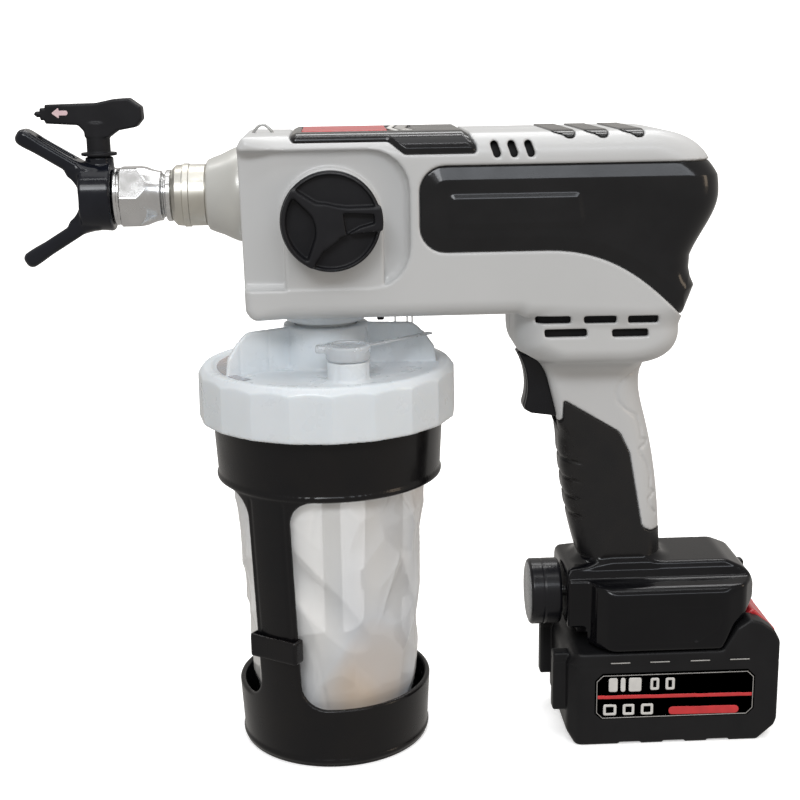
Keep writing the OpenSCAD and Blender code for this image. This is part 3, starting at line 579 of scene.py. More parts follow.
COVER = outline(corners(
    (47.5, 311.3, 12.5), (215, 311.3), (215, 262), (LIP_X + 1.5, LIP_Z + 1), (180.6, 233.0, 1.5),
    *bezier((178.6, 235), (164.5, 248), (146, 269.5), (110, 269.5), 20), (47.5, 269.5, 12.5)))
PLATEAU = outline(corners((60.7, 280.5, 3.5), (129, 280.5, 4.5), (126.5, 298.4, 3.5), (60.7, 298.4, 3.5)))
TRIM = outline(corners(
    (-14.4, 325.2, 1), (-14.2, 327.2, 1), (-10.5, 336), (70.5, 336), (71.4, 326.5, 2), (75, 320.5, 3),
    (75, 317.3, 1.5), (40.5, 317.3, 3), (33, 323.4, 3.5), (-13, 323.4, 1)))
GRIP = outline(corners(
    (95, 174.4), (118, 174.4, 1.5), (122.8, 176.4, 2), (123.2, 187.2, 0.8), (152.6, 169.4, 7), (158, 158),
    (165.6, 116.5, 5), (171, 113.6, 3), (190, 113.6), (190, 84), (95, 84)))
LIP = outline(corners(
    (80, 217), (102, 214, 4), *bezier((105, 212.5), (111.5, 208), (114.8, 201), (115.9, 193.5), 10),
    (119.6, 178, 2), (118, 175.6, 1), (118, 167), (80, 167)))
TRIGGER_TRAVEL = 6.6  # the pull, with a little room behind it
TRIGGER_GAP = outline(corners(
    (80, 216), (108, 212.5, 4), *bezier((114, 209.5), (119.5, 205), (121.4, 196), (122.2, 188), 8),
    (125.4, 171.6, 2), (118, 167.4), (80, 167.4)))
WAVES = [
    [(166, 205), (157, 200), (152.2, 196), (150.3, 191), (151.1, 186.5), (154.7, 182.6)],
    [(155, 182), (161.9, 177.4), (164.2, 171.5), (164.8, 165), (168.5, 163.3)],
    [(168, 162.5), (163.6, 159.7), (164.6, 156.5), (168.3, 150.4), (170.3, 144), (170, 137.5), (173, 134)],
    [(172, 134.2), (169.3, 132), (170.3, 127.3), (173.5, 123)]]
VENTS = [84.5, 92.8, 101.0]
INSERTS = [118.2, 134.4, 152.0]
BELLY_SLOTS = [(105, 232, 122.5), (129, 231.8, 145.5), (151, 231.6, 166.5), (109.5, 225, 131),
               (143.5, 224.4, 162)]
SLOT_TALL = 4.2
HOUSING_SCREWS = ((84, 246), (110, 317), (181, 303), (171, 222), (142, 214), (158, 118))
KNOB_X, _, KNOB_Z = centre_mm("prime_valve_stem")
KNOB_R = 24.1


def barrel(x, y, z):
    """The main body: soft long edges, crisper round its flat front."""
    behind = ramp(x, -39, -16)
    r = 4 + 8.5 * behind - 4.0 * (1 - ramp(z, 250, 300)) * behind + 3 * ramp(x, 160, 182)
    return both(BARREL(x, z), np.abs(y) - WIDE, r)


def belly(x, y, z):
    r = 8.0 + 2 * (1 - ramp(z, 212, 226)) + 4 * ramp(x, 150, 174) + 13 * (1 - ramp(x, 98, 122))
    return both(BELLY(x, z), np.abs(y) - 38, r)


def handle(x, y, z):
    r = 14 - 8.5 * ramp(z, 164, 176) * (1 - ramp(x, 128, 142))  # squarer where the trigger comes out
    return both(HANDLE(x, z), np.abs(y) - 18 + 0.8 * ramp(z, 150, 190), r)


def body(x, y, z):
    return either(either(barrel(x, y, z), belly(x, y, z), 1.0 + 4.0 * ramp(x, 97, 112)), handle(x, y, z), 9.0)


def vent_shape(x, z):
    return nearest(capsule(x, z, (at + 0.7, 316.6), (at - 0.7, 320.9), 1.9) for at in VENTS)


def belly_slot_shape(x, z):
    def slot(x0, z0, x1):
        lean = (z - z0 - SLOT_TALL / 2) * 0.12
        return rectangle(x + lean, z, (x0, z0), (x1, z0 + SLOT_TALL), 1.2)
    return nearest(slot(*place) for place in BELLY_SLOTS)


def wave_lines(x, z):
    """Distance to the wavy pressed lines on the back of the handle."""
    return nearest(capsule(x, z, a, b, 0.0) for line in WAVES for a, b in zip(line, line[1:]))


def insert_shape(x, z):
    """Each gloss insert over the top edge: straight behind, flaring in front, with a round lower end."""
    flare = 5.6 * ramp(z, 324.2, TOP)
    return nearest(both(np.maximum(at - flare - x, x - at - 5.6), 323.4 - z, 2.4) for at in INSERTS)


def knob_pillar(x, y, z):
    """The raised arch under the prime knob, which runs down to the ledge below it."""
    arch = np.minimum(np.hypot(x - KNOB_X, z - KNOB_Z) - KNOB_R - 0.5,
                      rectangle(x, z, (KNOB_X - 22.7, 246), (KNOB_X + 25.5, KNOB_Z), 1.5))
    return both(arch, slab(y, -WIDE + 0.6, -30), 1.4)


def shell_half(side):
    """One half of the housing, with every pocket that the trim sits in. side is -1 for the knob side."""
    def field(x, y, z):
        whole = body(x, y, z)
        skin = barrel(x, y, z)
        out = side * y
        floor = WIDE - 5 - 2.5 * (1 - ramp(x, -44, -20))
        pocket = both(RECESS(x, z), floor - out, 4.2)
        d = less(whole, pocket, 0.8)
        if side < 0:
            d = either(d, both(knob_pillar(x, y, z), RECESS(x, z) - 1.5, 0.5), 1.0)
        d = less(d, both(COVER(x, z) - 0.35, -2.0 - skin, 0.3), 0.5)
        d = less(d, both(TRIM(x, z) - 0.35, -2.0 - skin, 0.3), 0.5)
        d = less(d, both(insert_shape(x, z) - 0.3, both(-1.6 - skin, np.abs(y) - 41.5, 0.3), 0.3), 0.4)
        d = less(d, both(vent_shape(x, z), -5.0 - skin, 0.3), 0.6)
        d = less(d, both(belly_slot_shape(x, z), -5.0 - whole, 0.3), 0.6)
        d = less(d, both(GRIP(x, z) - 0.4, -1.8 - handle(x, y, z), 0.3), 0.5)
        slot = np.minimum(TRIGGER_GAP(x, z), TRIGGER_GAP(x - TRIGGER_TRAVEL, z))
        d = less(d, both(slot, out - 9.6, 0.5), 0.8)
        d = less(d, LIP(x, z), 1.3)
        line = wave_lines(x, z)
        d = d + 0.75 * on_line(line, 0.75) * (whole > -3)
        if side > 0:
            for px, pz in HOUSING_SCREWS:
                hole = both(np.hypot(x - px, z - pz) - 3.6, 9.5 - out, 0.4)
                d = less(d, hole, 0.5)
        return both(d, -out + 0.04, 0.35)
    return field


for side, hand in ((-1, "left"), (1, "right")):
    near, far = sorted((side * (WIDE + 1), side * -0.5))
    half = moulded(f"housing_{hand}_skin", shell_half(side), (FRONT - 1, near, HAND - 6),
                   (TAIL + 1, far, TOP + 1), 0.95)
    finish_piece(half, "gun", SHELL, (f"housing_{hand}",))


def cover_field(x, y, z):
    """Side cover: a border that rises to a raised inner face, and a bevelled plateau on it."""
    skin = barrel(x, y, z)
    edge = COVER(x, z)
    rise = -0.8 + 2.4 * np.clip(-edge / 7.0, 0, 1)
    rise = rise + 1.3 * np.clip(-PLATEAU(x, z) / 3.0, 0, 1) * ramp(-y, 30, 36)
    outer = both(skin - rise, edge, 0.5)
    shell = less(outer, skin + 1.9, 0.2)
    return both(shell, y + 0.25, 0.4)


cover = moulded("side_cover_left_gloss", cover_field, (46, -WIDE - 3.5, 230), (TAIL + 3, 0.5, 313), 0.7)
finish_piece(cover, "gun", GLOSS, ("side_cover_left",))
finish_piece(mirrored(cover, "side_cover_right_gloss"), "gun", GLOSS, ("side_cover_right",))


LABEL_W = 23.5


def trim_field(x, y, z):
    """Top trim with a flat polished bevel all round and a raised lip round the label plate."""
    skin = barrel(x, y, z)
    edge = TRIM(x, z)
    rise = -0.2 + 1.4 * np.clip(-edge / 2.4, 0, 1)
    outer = both(skin - rise, edge, 0.35)
    shell = less(outer, skin + 1.9, 0.2)
    seat = both(rectangle(x, y, (-9.4, -LABEL_W - 0.4), (46.5, LABEL_W + 0.4), 1.0), TOP + 0.45 - z, 0.2)
    return less(shell, seat, 0.25)


trim = moulded("top_trim_gloss", trim_field, (-17, -WIDE - 2, 315), (80, WIDE + 2, TOP + 2), 0.6)
finish_piece(trim, "gun", GLOSS, ("top_trim",))


def label_plate(low_x, high_x, slant=0.0, r=0.8):
    def field(x, y, z):
        lean = slant * np.abs(y)
        return both(rectangle(x - lean, y, (low_x, -LABEL_W), (high_x, LABEL_W), r),
                    slab(z, TOP + 0.5, TOP + 1.4), 0.25)
    return field


plate = moulded("top_label_red", label_plate(-9, 33), (-10, -LABEL_W - 1, TOP),
                (34, LABEL_W + 1, TOP + 2), 0.45)
finish_piece(plate, "gun", RED, ("top_label",))
for k, (x0, x1, paint) in enumerate(((33.4, 35.8, PRINT_WHITE), (37.2, 42.6, SILVER_LINE))):
    stripe = moulded(f"top_label_stripe_{k + 1}", label_plate(x0, x1, 0.12, 0.3),
                     (x0 - 1, -LABEL_W - 1, TOP), (x1 + 4, LABEL_W + 1, TOP + 2), 0.35)
    finish_piece(stripe, "gun", paint)


def inserts_field(x, y, z):
    skin = barrel(x, y, z)
    edge = insert_shape(x, z)
    return less(both(both(skin - 0.5, edge, 0.6), np.abs(y) - 41.2, 0.6), skin + 1.5, 0.2)


inserts = moulded("top_inserts_gloss", inserts_field, (110, -WIDE - 1, 319), (164, WIDE + 1, TOP + 1.5), 0.6)
finish_piece(inserts, "gun", GLOSS, ("top_inserts",))


def vent_painted_shade(x, y, z):
    """Painted shade: black pieces that close the vent slots a little below the surface and stand in for the
    shade inside them.
    """
    skin, whole = barrel(x, y, z), body(x, y, z)
    upper = both(vent_shape(x, z) - 0.3, both(skin + 3.0, -4.6 - skin, 0.2), 0.2)
    lower = both(belly_slot_shape(x, z) - 0.3, both(whole + 2.8, -4.6 - whole, 0.2), 0.2)
    return both(np.minimum(upper, lower), 20 - np.abs(y), 0.1)


# painted shade: the black pieces in the vent slots stand in for the shade inside the housing
vent_shade = moulded("vent_grilles", vent_painted_shade, (80, -WIDE - 1, 221), (174, -20, 325), 0.55)
finish_piece(vent_shade, "gun", SHADE_BLACK)
finish_piece(mirrored(vent_shade, "vent_grilles_right"), "gun", SHADE_BLACK)


def sleeve_field(x, y, z):
    """Soft sleeve on the handle, with finger grooves pressed in at the front."""
    base = handle(x, y, z)
    grooves = sum(on_line(z - at + 0.12 * (x - 125), 0.8) for at in (154, 143.4, 133.4, 123.5))
    swell = 0.5 * np.cos((z - 148.5) * 2 * math.pi / 10.4) * ramp(z, 116, 122) * (1 - ramp(z, 156, 162))
    outer = base - 0.15 + 0.8 * grooves * (1 - ramp(x, 130, 136)) - 0.25 * swell * (1 - ramp(x, 128, 136))
    outer = both(outer, GRIP(x, z), 0.6)
    shell = less(outer, base + 1.7, 0.2)
    return less(shell, both(TRIGGER_GAP(x, z), np.abs(y) - 9.6, 0.4), 0.5)


sleeve = moulded("grip_sleeve", sleeve_field, (112, -20, HAND - 8), (182, 20, 190), 0.6)
finish_piece(sleeve, "gun", RUBBER, ("grip_overmould",))

TRIGGER = outline(corners(
    (99.6, 211.5, 1.0), *bezier((99.8, 211), (104.6, 204), (106.4, 192), (103.4, 183), 12),
    (103.6, 180.5, 2), (107, 178.4, 2), (123.8, 176, 2), (121.0, 188),
    *bezier((120.6, 190), (119, 199), (116.5, 206), (110, 210.5), 8)))


def trigger_field(x, y, z):
    """Curved trigger with a raised band down the middle of its front."""
    edge = TRIGGER(x, z)
    band = 0.5 * np.clip((5.5 - np.abs(y)) / 1.2, 0, 1) * (1 - ramp(x, 106, 109))
    return both(edge + 0.35 - band, np.abs(y) - 8.9, 1.6)


trigger = moulded("trigger_lever", trigger_field, (99, -10, 171), (126, 10, 212), 0.5)
finish_piece(trigger, "trigger", SATIN, ("trigger",))

eye = tube("hanging_eye_wire", [
    (-34.5, 0, TOP - 1.5), (-33.4, 0, TOP + 0.4), (-31, 0, TOP + 3.1), (-29, 0, TOP + 4.0),
    (-27, 0, TOP + 3.1), (-24.4, 0, TOP + 0.4), (-23.5, 0, TOP - 1.5)], 0.75)
finish_piece(eye, "gun", WIRE, ("hanging_eye",))


def far_block(x, y, z):
    return block(x, y, z, (27.6, 22, 225), (31.4, 28, 240), 0.8)


stop = moulded("far_side_stop", far_block, (27, 21, 224), (32, 29, 241), 0.4)
finish_piece(stop, "gun", MATTE)
for k, at in enumerate((37.4, 43.9, 46.6)):
    pin = tube(f"far_side_pin_{k + 1}", [(at, 25, 222), (at, 25, 230), (at, 25, 240)], 0.4)
    finish_piece(pin, "gun", WIRE)


# ---------- prime knob ----------

KNOB_FACE = box_mm("prime_knob")[0][1]
KNOB_CORE = outline([(-8.0, 9.0), (-3.4, -13.5), (3, -9), (8, -3), (6, 7)], margin=34)
KNOB_POCKET = outline(corners(
    (5.9, 4.4, 1), (20.6, 3.6, 1), (20.8, -0.8, 1), (14, -2.6, 8), (7.3, -6.2, 1)), margin=34)


def knob_field(x, y, z):
    """Round knob with a sunk face, a rim on one side and a raised grip of three arms."""
    u, w = x - KNOB_X, z - KNOB_Z
    radius = np.hypot(u, w)
    depth = y - KNOB_FACE  # 0 at the front of the grip, growing towards the body
    d = both(radius - KNOB_R + 0.9 * ramp(-depth, -4.6, -3.8), slab(depth, 2.0, 8.4), 1.0)
    d = either(d, both(radius - KNOB_R + 4, slab(depth, 6, 17.4), 0.6), 1.0)
    dish = both(radius - (KNOB_R - 1.6), depth - 5.2, 1.2)
    d = less(d, dish, 0.8)

    def arm(angle, near_half, far_half, far):
        a = math.radians(angle)
        along, across = u * math.cos(a) + w * math.sin(a), -u * math.sin(a) + w * math.cos(a)
        half = near_half + (far_half - near_half) * np.clip(along / far, 0, 1)
        return both(np.abs(across) - half, slab(along, -2, far), 1.0)
    grip = either(either(arm(3, 6.6, 5.6, KNOB_R + 2), arm(141, 4.0, 1.5, KNOB_R - 1.0), 7.0),
                  arm(243, 4.6, 1.6, KNOB_R - 1.0), 7.0)
    grip = both(np.minimum(grip, KNOB_CORE(u, w)), radius - KNOB_R - 0.9, 0.8)
    rim = both(both(radius - KNOB_R + 0.5, KNOB_R - 2.7 - radius, 0.4), rim_side(u, w), 0.5)
    grip = either(grip, rim, 1.6)
    pocket = both(KNOB_POCKET(u, w), depth - 4.0, 0.8)
    raised = both(grip, slab(depth, 0.0, 8.0), 1.3)
    raised = less(raised, pocket, 0.9)
    return either(d, raised, 1.2)


def rim_side(u, w):
    """The raised rim runs between the two left arms only."""
    angle = np.arctan2(w, u)
    turned_by = np.mod(angle - math.radians(193) + math.pi, 2 * math.pi) - math.pi
    return (np.abs(turned_by) - math.radians(54)) * 20


knob = moulded("prime_knob_grip", knob_field, (-24, KNOB_FACE - 1, 260), (30, KNOB_FACE + 18.5, 313), 0.42)
finish_piece(knob, "knob", MATTE, ("prime_knob",))


# ---------- nozzle, nut, guard and tip ----------

nose = turned("nose_shoulder", [
    (-58, 0), (-58, 16.2), (-57.2, 17.6), (-55, 18.6), (-50, 20.4), (-45.5, 22.6), (-43, 23.6), (-41.2, 24.0),
    (-36, 24.1), (-34.4, 23.6), (-34.4, 0)], (0, 0, AXIS))
finish_piece(nose, "gun", CAST, ("nose_cone",))

coupling = turned("outlet_coupling_turned", [
    (-50.5, 0), (-50.5, 15.4), (-56, 15.5), (-57.2, 15.5), (-57.7, 15.1), (-58.2, 15.1), (-58.7, 15.5),
    (-66.4, 15.5), (-66.8, 16.0), (-69.6, 16.0), (-70.0, 15.5), (-73.4, 15.2), (-75.3, 13.2),
    (-75.6, 12.6), (-75.6, 6), (-74.5, 5), (-74.5, 0)], (0, 0, AXIS))
finish_piece(coupling, "gun", NICKEL, ("outlet_coupling",))

thread = [(-75.8, 0), (-75.8, 12.4), (-76.2, 13.0), (-78.0, 13.0), (-78.6, 12.4), (-78.9, 10.2)]
for k in range(7):
    thread += [(-79.3 - 1.5 * k, 10.2), (-79.8 - 1.5 * k, 11.0), (-80.1 - 1.5 * k, 11.0),
               (-80.6 - 1.5 * k, 10.2)]
thread += [(-90, 10.0), (-90, 3.2), (-76, 3.2)]
nipple = turned("outlet_nipple_thread", thread, (0, 0, AXIS))
finish_piece(nipple, "gun", STEEL, ("outlet_nipple",))

HEX = [(math.sin(math.radians(60 * k)), math.cos(math.radians(60 * k))) for k in range(3)]


def nut_field(x, y, z):
    """Hexagon that flares down to its back end in curved facets, with a grooved collar in front."""
    w = z - AXIS
    radius = np.hypot(y, w)
    flats = np.maximum.reduce([np.abs(y * s + w * c) for s, c in HEX]) - 14.6
    flare = 12.6 + 4.0 * np.clip((-82.0 - x) / 10.0, 0, 1) ** 1.4
    hexagon = both(both(flats, radius - flare, 0.25), slab(x, -101.2, -80.8), 0.5)
    hexagon = both(hexagon, radius - 15.6 - (x + 101.2) * 1.6, 0.2)
    rings = 0.3 * on_line(np.mod(x, 1.7) - 0.85, 0.25)
    collar = both(radius - 14.4 + rings, slab(x, -104.8, -100.5), 0.5)
    d = either(hexagon, collar, 0.3)
    d = less(d, both(radius - 11.1, -91 - x, 0.2), 0.3)
    return less(d, radius - 9.5, 0.3)


nut = moulded("guard_nut_hex", nut_field, (-105.5, -17.5, AXIS - 17.5), (-80, 17.5, AXIS + 17.5), 0.36)
finish_piece(nut, "nut", STEEL, ("guard_nut",))

WING_ROOT, WING_TIP = (-123.6, 15.6), (-146.6, 29.6)


def wing(x, y, w):
    """One arm of the spray guard: two round bars joined at a rounded end.

    w is the height along its own side.
    """
    ax, aw = WING_ROOT
    ex, ew = WING_TIP[0] - ax, WING_TIP[1] - aw
    size = math.hypot(ex, ew)
    along = ((x - ax) * ex + (w - aw) * ew) / size
    across = (-(x - ax) * ew + (w - aw) * ex) / size
    half = 9.6 - 1.2 * np.clip(along / size, 0, 1)
    thick = 3.7 + 0.4 * on_line(along - size, 5)
    plate = both(both(np.abs(y) - half, slab(along, -9, size + 5.2), 4.4), np.abs(across) - thick, 3.0)
    hole = rectangle(along, y, (2.0, -4.6), (size - 3.5, 4.6), 2.8)
    return less(plate, hole, 1.6)


TIP_X = -111.5  # the upright axis that the tip turns on


def guard_field(x, y, z):
    w = z - AXIS
    radius = np.hypot(y, w)
    disc = both(radius - 17.3, slab(x, -121, -105.2), 1.6)
    bowl = np.hypot(x + 133.2, w * 0.92) - 12.0
    d = either(disc, wing(x, y, w), 2.5)
    d = either(d, wing(x, y, -w), 2.5)
    cheeks = both(both(np.abs(w) - 15.5, np.abs(y) - 9.3, 2.0), slab(x, -127.5, -112), 1.5)
    d = either(d, cheeks, 2.0)
    d = less(d, bowl, 1.2)
    boss = both(np.hypot(x - TIP_X, y) - 7.0, slab(w, 8, 20.0), 0.8)
    d = either(d, boss, 1.2)
    d = less(d, np.hypot(x - TIP_X, y) - 5.7, 0.3)
    hub = both(radius - 9.3, slab(x, -106, -92), 0.4)
    d = either(d, hub, 0.3)
    return less(d, radius - 3.0, 0.4)


guard = moulded("spray_guard", guard_field, (-152.8, -18, AXIS - 36.5), (-91, 18, AXIS + 36.5), 0.5)
finish_piece(guard, "guard", GUARD, ("tip_guard",))

KEY = outline(corners(
    (-142.4, 337.6, 0.4), (-140.6, 336.0), (-139.4, 336.2), (-139.0, 334.6, 0.4), (-137.4, 334.6),
    (-136.6, 332.9, 0.4), (-120.4, 332.0, 2.5), (-117.6, 328.8, 3), (-117.2, 316, 1), (-105.6, 316, 1),
    (-105.2, 326, 2.5), (-101, 329.0, 2), (-91.6, 330.6, 2.5), (-88.4, 334.4, 1.5), (-88.7, 340.4, 1.5),
    (-94.8, 344.9, 2), (-103, 344.4), (-112, 342.6, 12), (-136.6, 342.2, 0.5), (-136.8, 340.6),
    (-139.2, 340.6, 0.4), (-139.4, 338.9), (-141.2, 339.0, 0.4)))


def key_half(x):
    """Half the thickness of the tip's handle, which thins towards its point."""
    return 5.2 - 2.4 * (1 - ramp(x, -138, -124))


def key_field(x, y, z):
    """Reversible tip: a flat pointed handle on a round stem with a flange."""
    around = np.hypot(x - TIP_X, y)
    half = key_half(x) + 0.6 * ramp(x, -110, -96)
    head = both(both(KEY(x, z), np.abs(y) - half, 1.2), 326 - z, 0.5)
    stem = both(around - 5.9, slab(z, 315, 333), 0.8)
    flange = both(around - 8.9, slab(z, 316.7, 318.3), 0.5)
    pin = both(around - 5.45, slab(z, AXIS - 11.5, 320), 0.6)
    d = either(head, stem, 1.2)
    d = either(either(d, flange, 0.6), pin, 0.2)
    return less(d, np.hypot(y, z - AXIS) - 2.4, 0.2)


key = moulded("spray_tip_key", key_field, (-143, -9.5, AXIS - 12), (-88, 9.5, 345.4), 0.4)
finish_piece(key, "tip", MATTE, ("tip_key",))
ARROW = outline(corners(
    (-133.4, 338.0, 0.5), (-129.4, 340.8, 0.5), (-129.4, 339.3), (-124.9, 339.3, 1.1),
    (-124.9, 336.9, 1.1), (-129.4, 336.9), (-129.4, 335.3, 0.5)), step=0.1, margin=3)


def arrow_field(x, y, z):
    half = key_half(x)
    return both(ARROW(x, z), both(np.abs(y) - half - 0.14, half - 0.3 - np.abs(y)), 0.1)


arrow = moulded("spray_tip_arrow", arrow_field, (-134, -6, 334.6), (-124, 6, 341.4), 0.22)
finish_piece(arrow, "tip", PRINT_PINK)


# ---------- inlet, cap and vent ----------

INLET_R = (box_mm("inlet_collar")[1][0] - box_mm("inlet_collar")[0][0]) / 2
collar = turned("inlet_collar_turned", [
    (243.4, 5.1), (243.4, INLET_R - 0.6), (243.0, INLET_R), (233.4, INLET_R - 0.1), (232.4, INLET_R - 0.9),
    (231.0, INLET_R - 1.2), (231.0, 16.1), (212.2, 15.9), (212.0, 15.4), (212.0, 5.1)], (0, 0, 0), "Z")
finish_piece(collar, "gun", WHITE, ("inlet_collar",))

CAP_R, CAP_TOP, CAP_FOOT = 67.6, 208.5, box_mm("cup_cap")[0][2]
FLATS = 20
SPOUT = (11.0, -41.0)


def twenty_sides(x, y):
    angle = np.arctan2(y, x) - math.radians(2.3)
    step = 2 * math.pi / FLATS
    off = np.mod(angle, step) - step / 2
    return np.hypot(x, y) * np.cos(off)


def web(x, y, z, direction):
    """A thin rib that runs down from the neck to the rim."""
    a = math.radians(direction)
    along, across = x * math.cos(a) + y * math.sin(a), -x * math.sin(a) + y * math.cos(a)
    return both(both(WEB(along, z), np.abs(across) - 1.3, 0.7), 18 - along, 0.2)


WEB = outline(corners((15, 204), (15, 228.8), (45, 228.4, 6), (51, 223.5, 6), (56.6, 215.5, 3), (57.8, 204)))
CAP_OUT = outline(corners(
    (-5, CAP_FOOT), (CAP_R, CAP_FOOT, 1.0), (CAP_R, CAP_TOP - 4.6, 2.5), (CAP_R - 3.4, CAP_TOP, 2.0),
    (CAP_R - 7.4, CAP_TOP, 1.0), (CAP_R - 9.0, CAP_TOP - 1.3, 1.0), (-5, CAP_TOP - 1.3)))
CAP_IN = outline(corners(
    (-5, CAP_FOOT - 4), (61.9, CAP_FOOT - 4), (61.9, 201.5, 2.5), (57.6, CAP_TOP - 4.2, 2),
    (-5, CAP_TOP - 4.2)))


def cap_field(x, y, z):
    """Faceted cap with a rim, a short neck, two ribs and a pouring spout."""
    radius = np.hypot(x, y)
    sides = twenty_sides(x, y) - (CAP_R - 0.85)
    taper = 0.012 * (z - CAP_FOOT)
    d = both(CAP_OUT(radius, z), sides + taper, 0.15)
    d = both(d, 0.55 * (CAP_FOOT - z), 0.1)
    neck = both(radius - 22 - 0.03 * (229 - z), slab(z, 203, 229), 0.9)
    d = either(d, neck, 2.0)
    for direction in (-3.3, 208.4):
        d = either(d, web(x, y, z, direction), 0.9)
    spout = both(np.hypot(x - SPOUT[0], y - SPOUT[1]) - 10.5, slab(z, 203, 217), 0.5)
    d = either(d, spout, 1.6)
    lid_lines = np.minimum(np.abs(radius - 34), np.abs(radius - 50))
    d = d + 0.3 * on_line(lid_lines, 0.7) * (z > CAP_TOP - 4)
    d = less(d, CAP_IN(radius, z), 0.5)
    d = less(d, radius - 16.2, 0.4)
    return less(d, np.hypot(x - SPOUT[0], y - SPOUT[1]) - 7.1, 0.4)


cap = moulded("cup_cap_moulded", cap_field, (-69, -69, CAP_FOOT - 1), (69, 69, 230), 0.85)
finish_piece(cap, "cap", WHITE, ("cup_cap",))


def foil_field(x, y, z):
    """A strip of foil seal round the left of the cap's top."""
    radius = np.hypot(x, y)
    sweep = np.abs(np.arctan2(y, -x)) - math.radians(44)
    return both(both(slab(radius, 52.5, 57.5), slab(z, CAP_TOP - 1.4, CAP_TOP - 0.95), 0.12), sweep * 55, 0.4)


foil = moulded("cap_foil_strip", foil_field, (-59, -45, CAP_TOP - 2), (-36, 45, CAP_TOP), 0.3)
finish_piece(foil, "cap", FOIL)

PLUG_TOP = box_mm("vent_plug")[1][2]


def plug_field(x, y, z):
    """Push-in plug with a chamfered top, a pull tab and a hollow underneath."""
    u, v = x - SPOUT[0], y - SPOUT[1]
    radius = np.hypot(u, v)
    d = both(radius - 11.3 + 0.04 * np.clip(PLUG_TOP - z, 0, 8), slab(z, 217.3, PLUG_TOP), 1.1)
    d = less(d, both(radius - 8.6, PLUG_TOP - 0.9 - z, 0.4), 0.5)
    tab = both(rectangle(u, v, (-16.2, -3.8), (-6, 3.8), 2.4), slab(z, 221.2, PLUG_TOP - 0.4), 0.8)
    d = either(d, tab, 1.5)
    stalk = both(radius - 6.9, slab(z, 207, 218), 0.5)
    return either(d, stalk, 0.3)


plug = moulded("vent_plug_moulded", plug_field, (SPOUT[0] - 17, SPOUT[1] - 12, 206.5),
               (SPOUT[0] + 12, SPOUT[1] + 12, PLUG_TOP + 0.5), 0.42)
finish_piece(plug, "vent", CLEARER, ("vent_plug",))


# ---------- cup holder ----------

PILLAR = math.radians(236)
RING_R = 61.5


def holder_radius(z):
    return 50.5 + (RING_R - 1 - 50.5) * np.clip(z, 0, 180) / 180


def holder_turn(x, y):
    """Along and across the line of the two pillars."""
    return x * math.cos(PILLAR) + y * math.sin(PILLAR), -x * math.sin(PILLAR) + y * math.cos(PILLAR)


def ring_field(x, y, z):
    along, across = holder_turn(x, y)
    radius = np.hypot(x, y)
    wall = slab(radius - holder_radius(z), -3.0, 0.0)
    lip = slab(radius - holder_radius(z), -3.2, 0.7)
    d = both(wall, slab(z, 62, 201.3), 0.8)
    d = either(d, both(lip, slab(z, 197.6, 201.3), 0.6), 0.6)
    bead = both(slab(radius - holder_radius(z), -2.0, 0.8), slab(z, 148.8, 151.4), 0.8)
    side = rectangle(np.abs(across), z, (12.5, 40), (120, 148), 13.0)
    d = less(either(d, bead, 0.8), side, 1.3)
    groove = both(slab(np.abs(across), 9.4, 10.3), slab(z, 74, 146), 0.3)
    return d + 0.35 * on_line(np.maximum(groove, 0), 0.6) * (radius > holder_radius(z) - 1.5)


ring = moulded("cup_holder_ring_cage", ring_field, (-62.5, -62.5, 61), (62.5, 62.5, 202), 0.85)
finish_piece(ring, "cup", HOLDER, ("cup_holder_ring",))


def base_field(x, y, z):
    """Base cup of the holder, with sockets that take the ring's pillars."""
    along, across = holder_turn(x, y)
    radius = np.hypot(x, y)
    out = radius - holder_radius(z)
    shell = both(out, slab(z, 0, 64), 1.2)
    shell = less(shell, both(out + 3.0, 4 - z, 1.5), 0.6)
    side = rectangle(np.abs(across), z, (12.5, 33), (120, 90), 13.0)
    d = less(shell, side, 1.3)
    heel = both(slab(out, -2.0, 0.7), slab(z, 2.2, 4.6), 0.7)
    d = either(d, heel, 0.7)
    far = np.abs(along)
    socket = both(slab(far, holder_radius(66) - 5.2, holder_radius(66) + 2.8), np.abs(across) - 14.5, 1.4)
    socket = both(socket, slab(z, 60, 72.5), 1.2)
    d = either(d, socket, 1.0)
    hole = both(slab(far, holder_radius(60) - 3.9, holder_radius(80) + 0.4), np.abs(across) - 12.8, 0.6)
    return less(d, both(hole, 61.5 - z, 0.3), 0.4)


base = moulded("cup_holder_base_cup", base_field, (-62, -62, -0.5), (62, 62, 73.5), 0.8)
finish_piece(base, "cup", HOLDER, ("cup_holder_base",))


# ---------- clear liner ----------

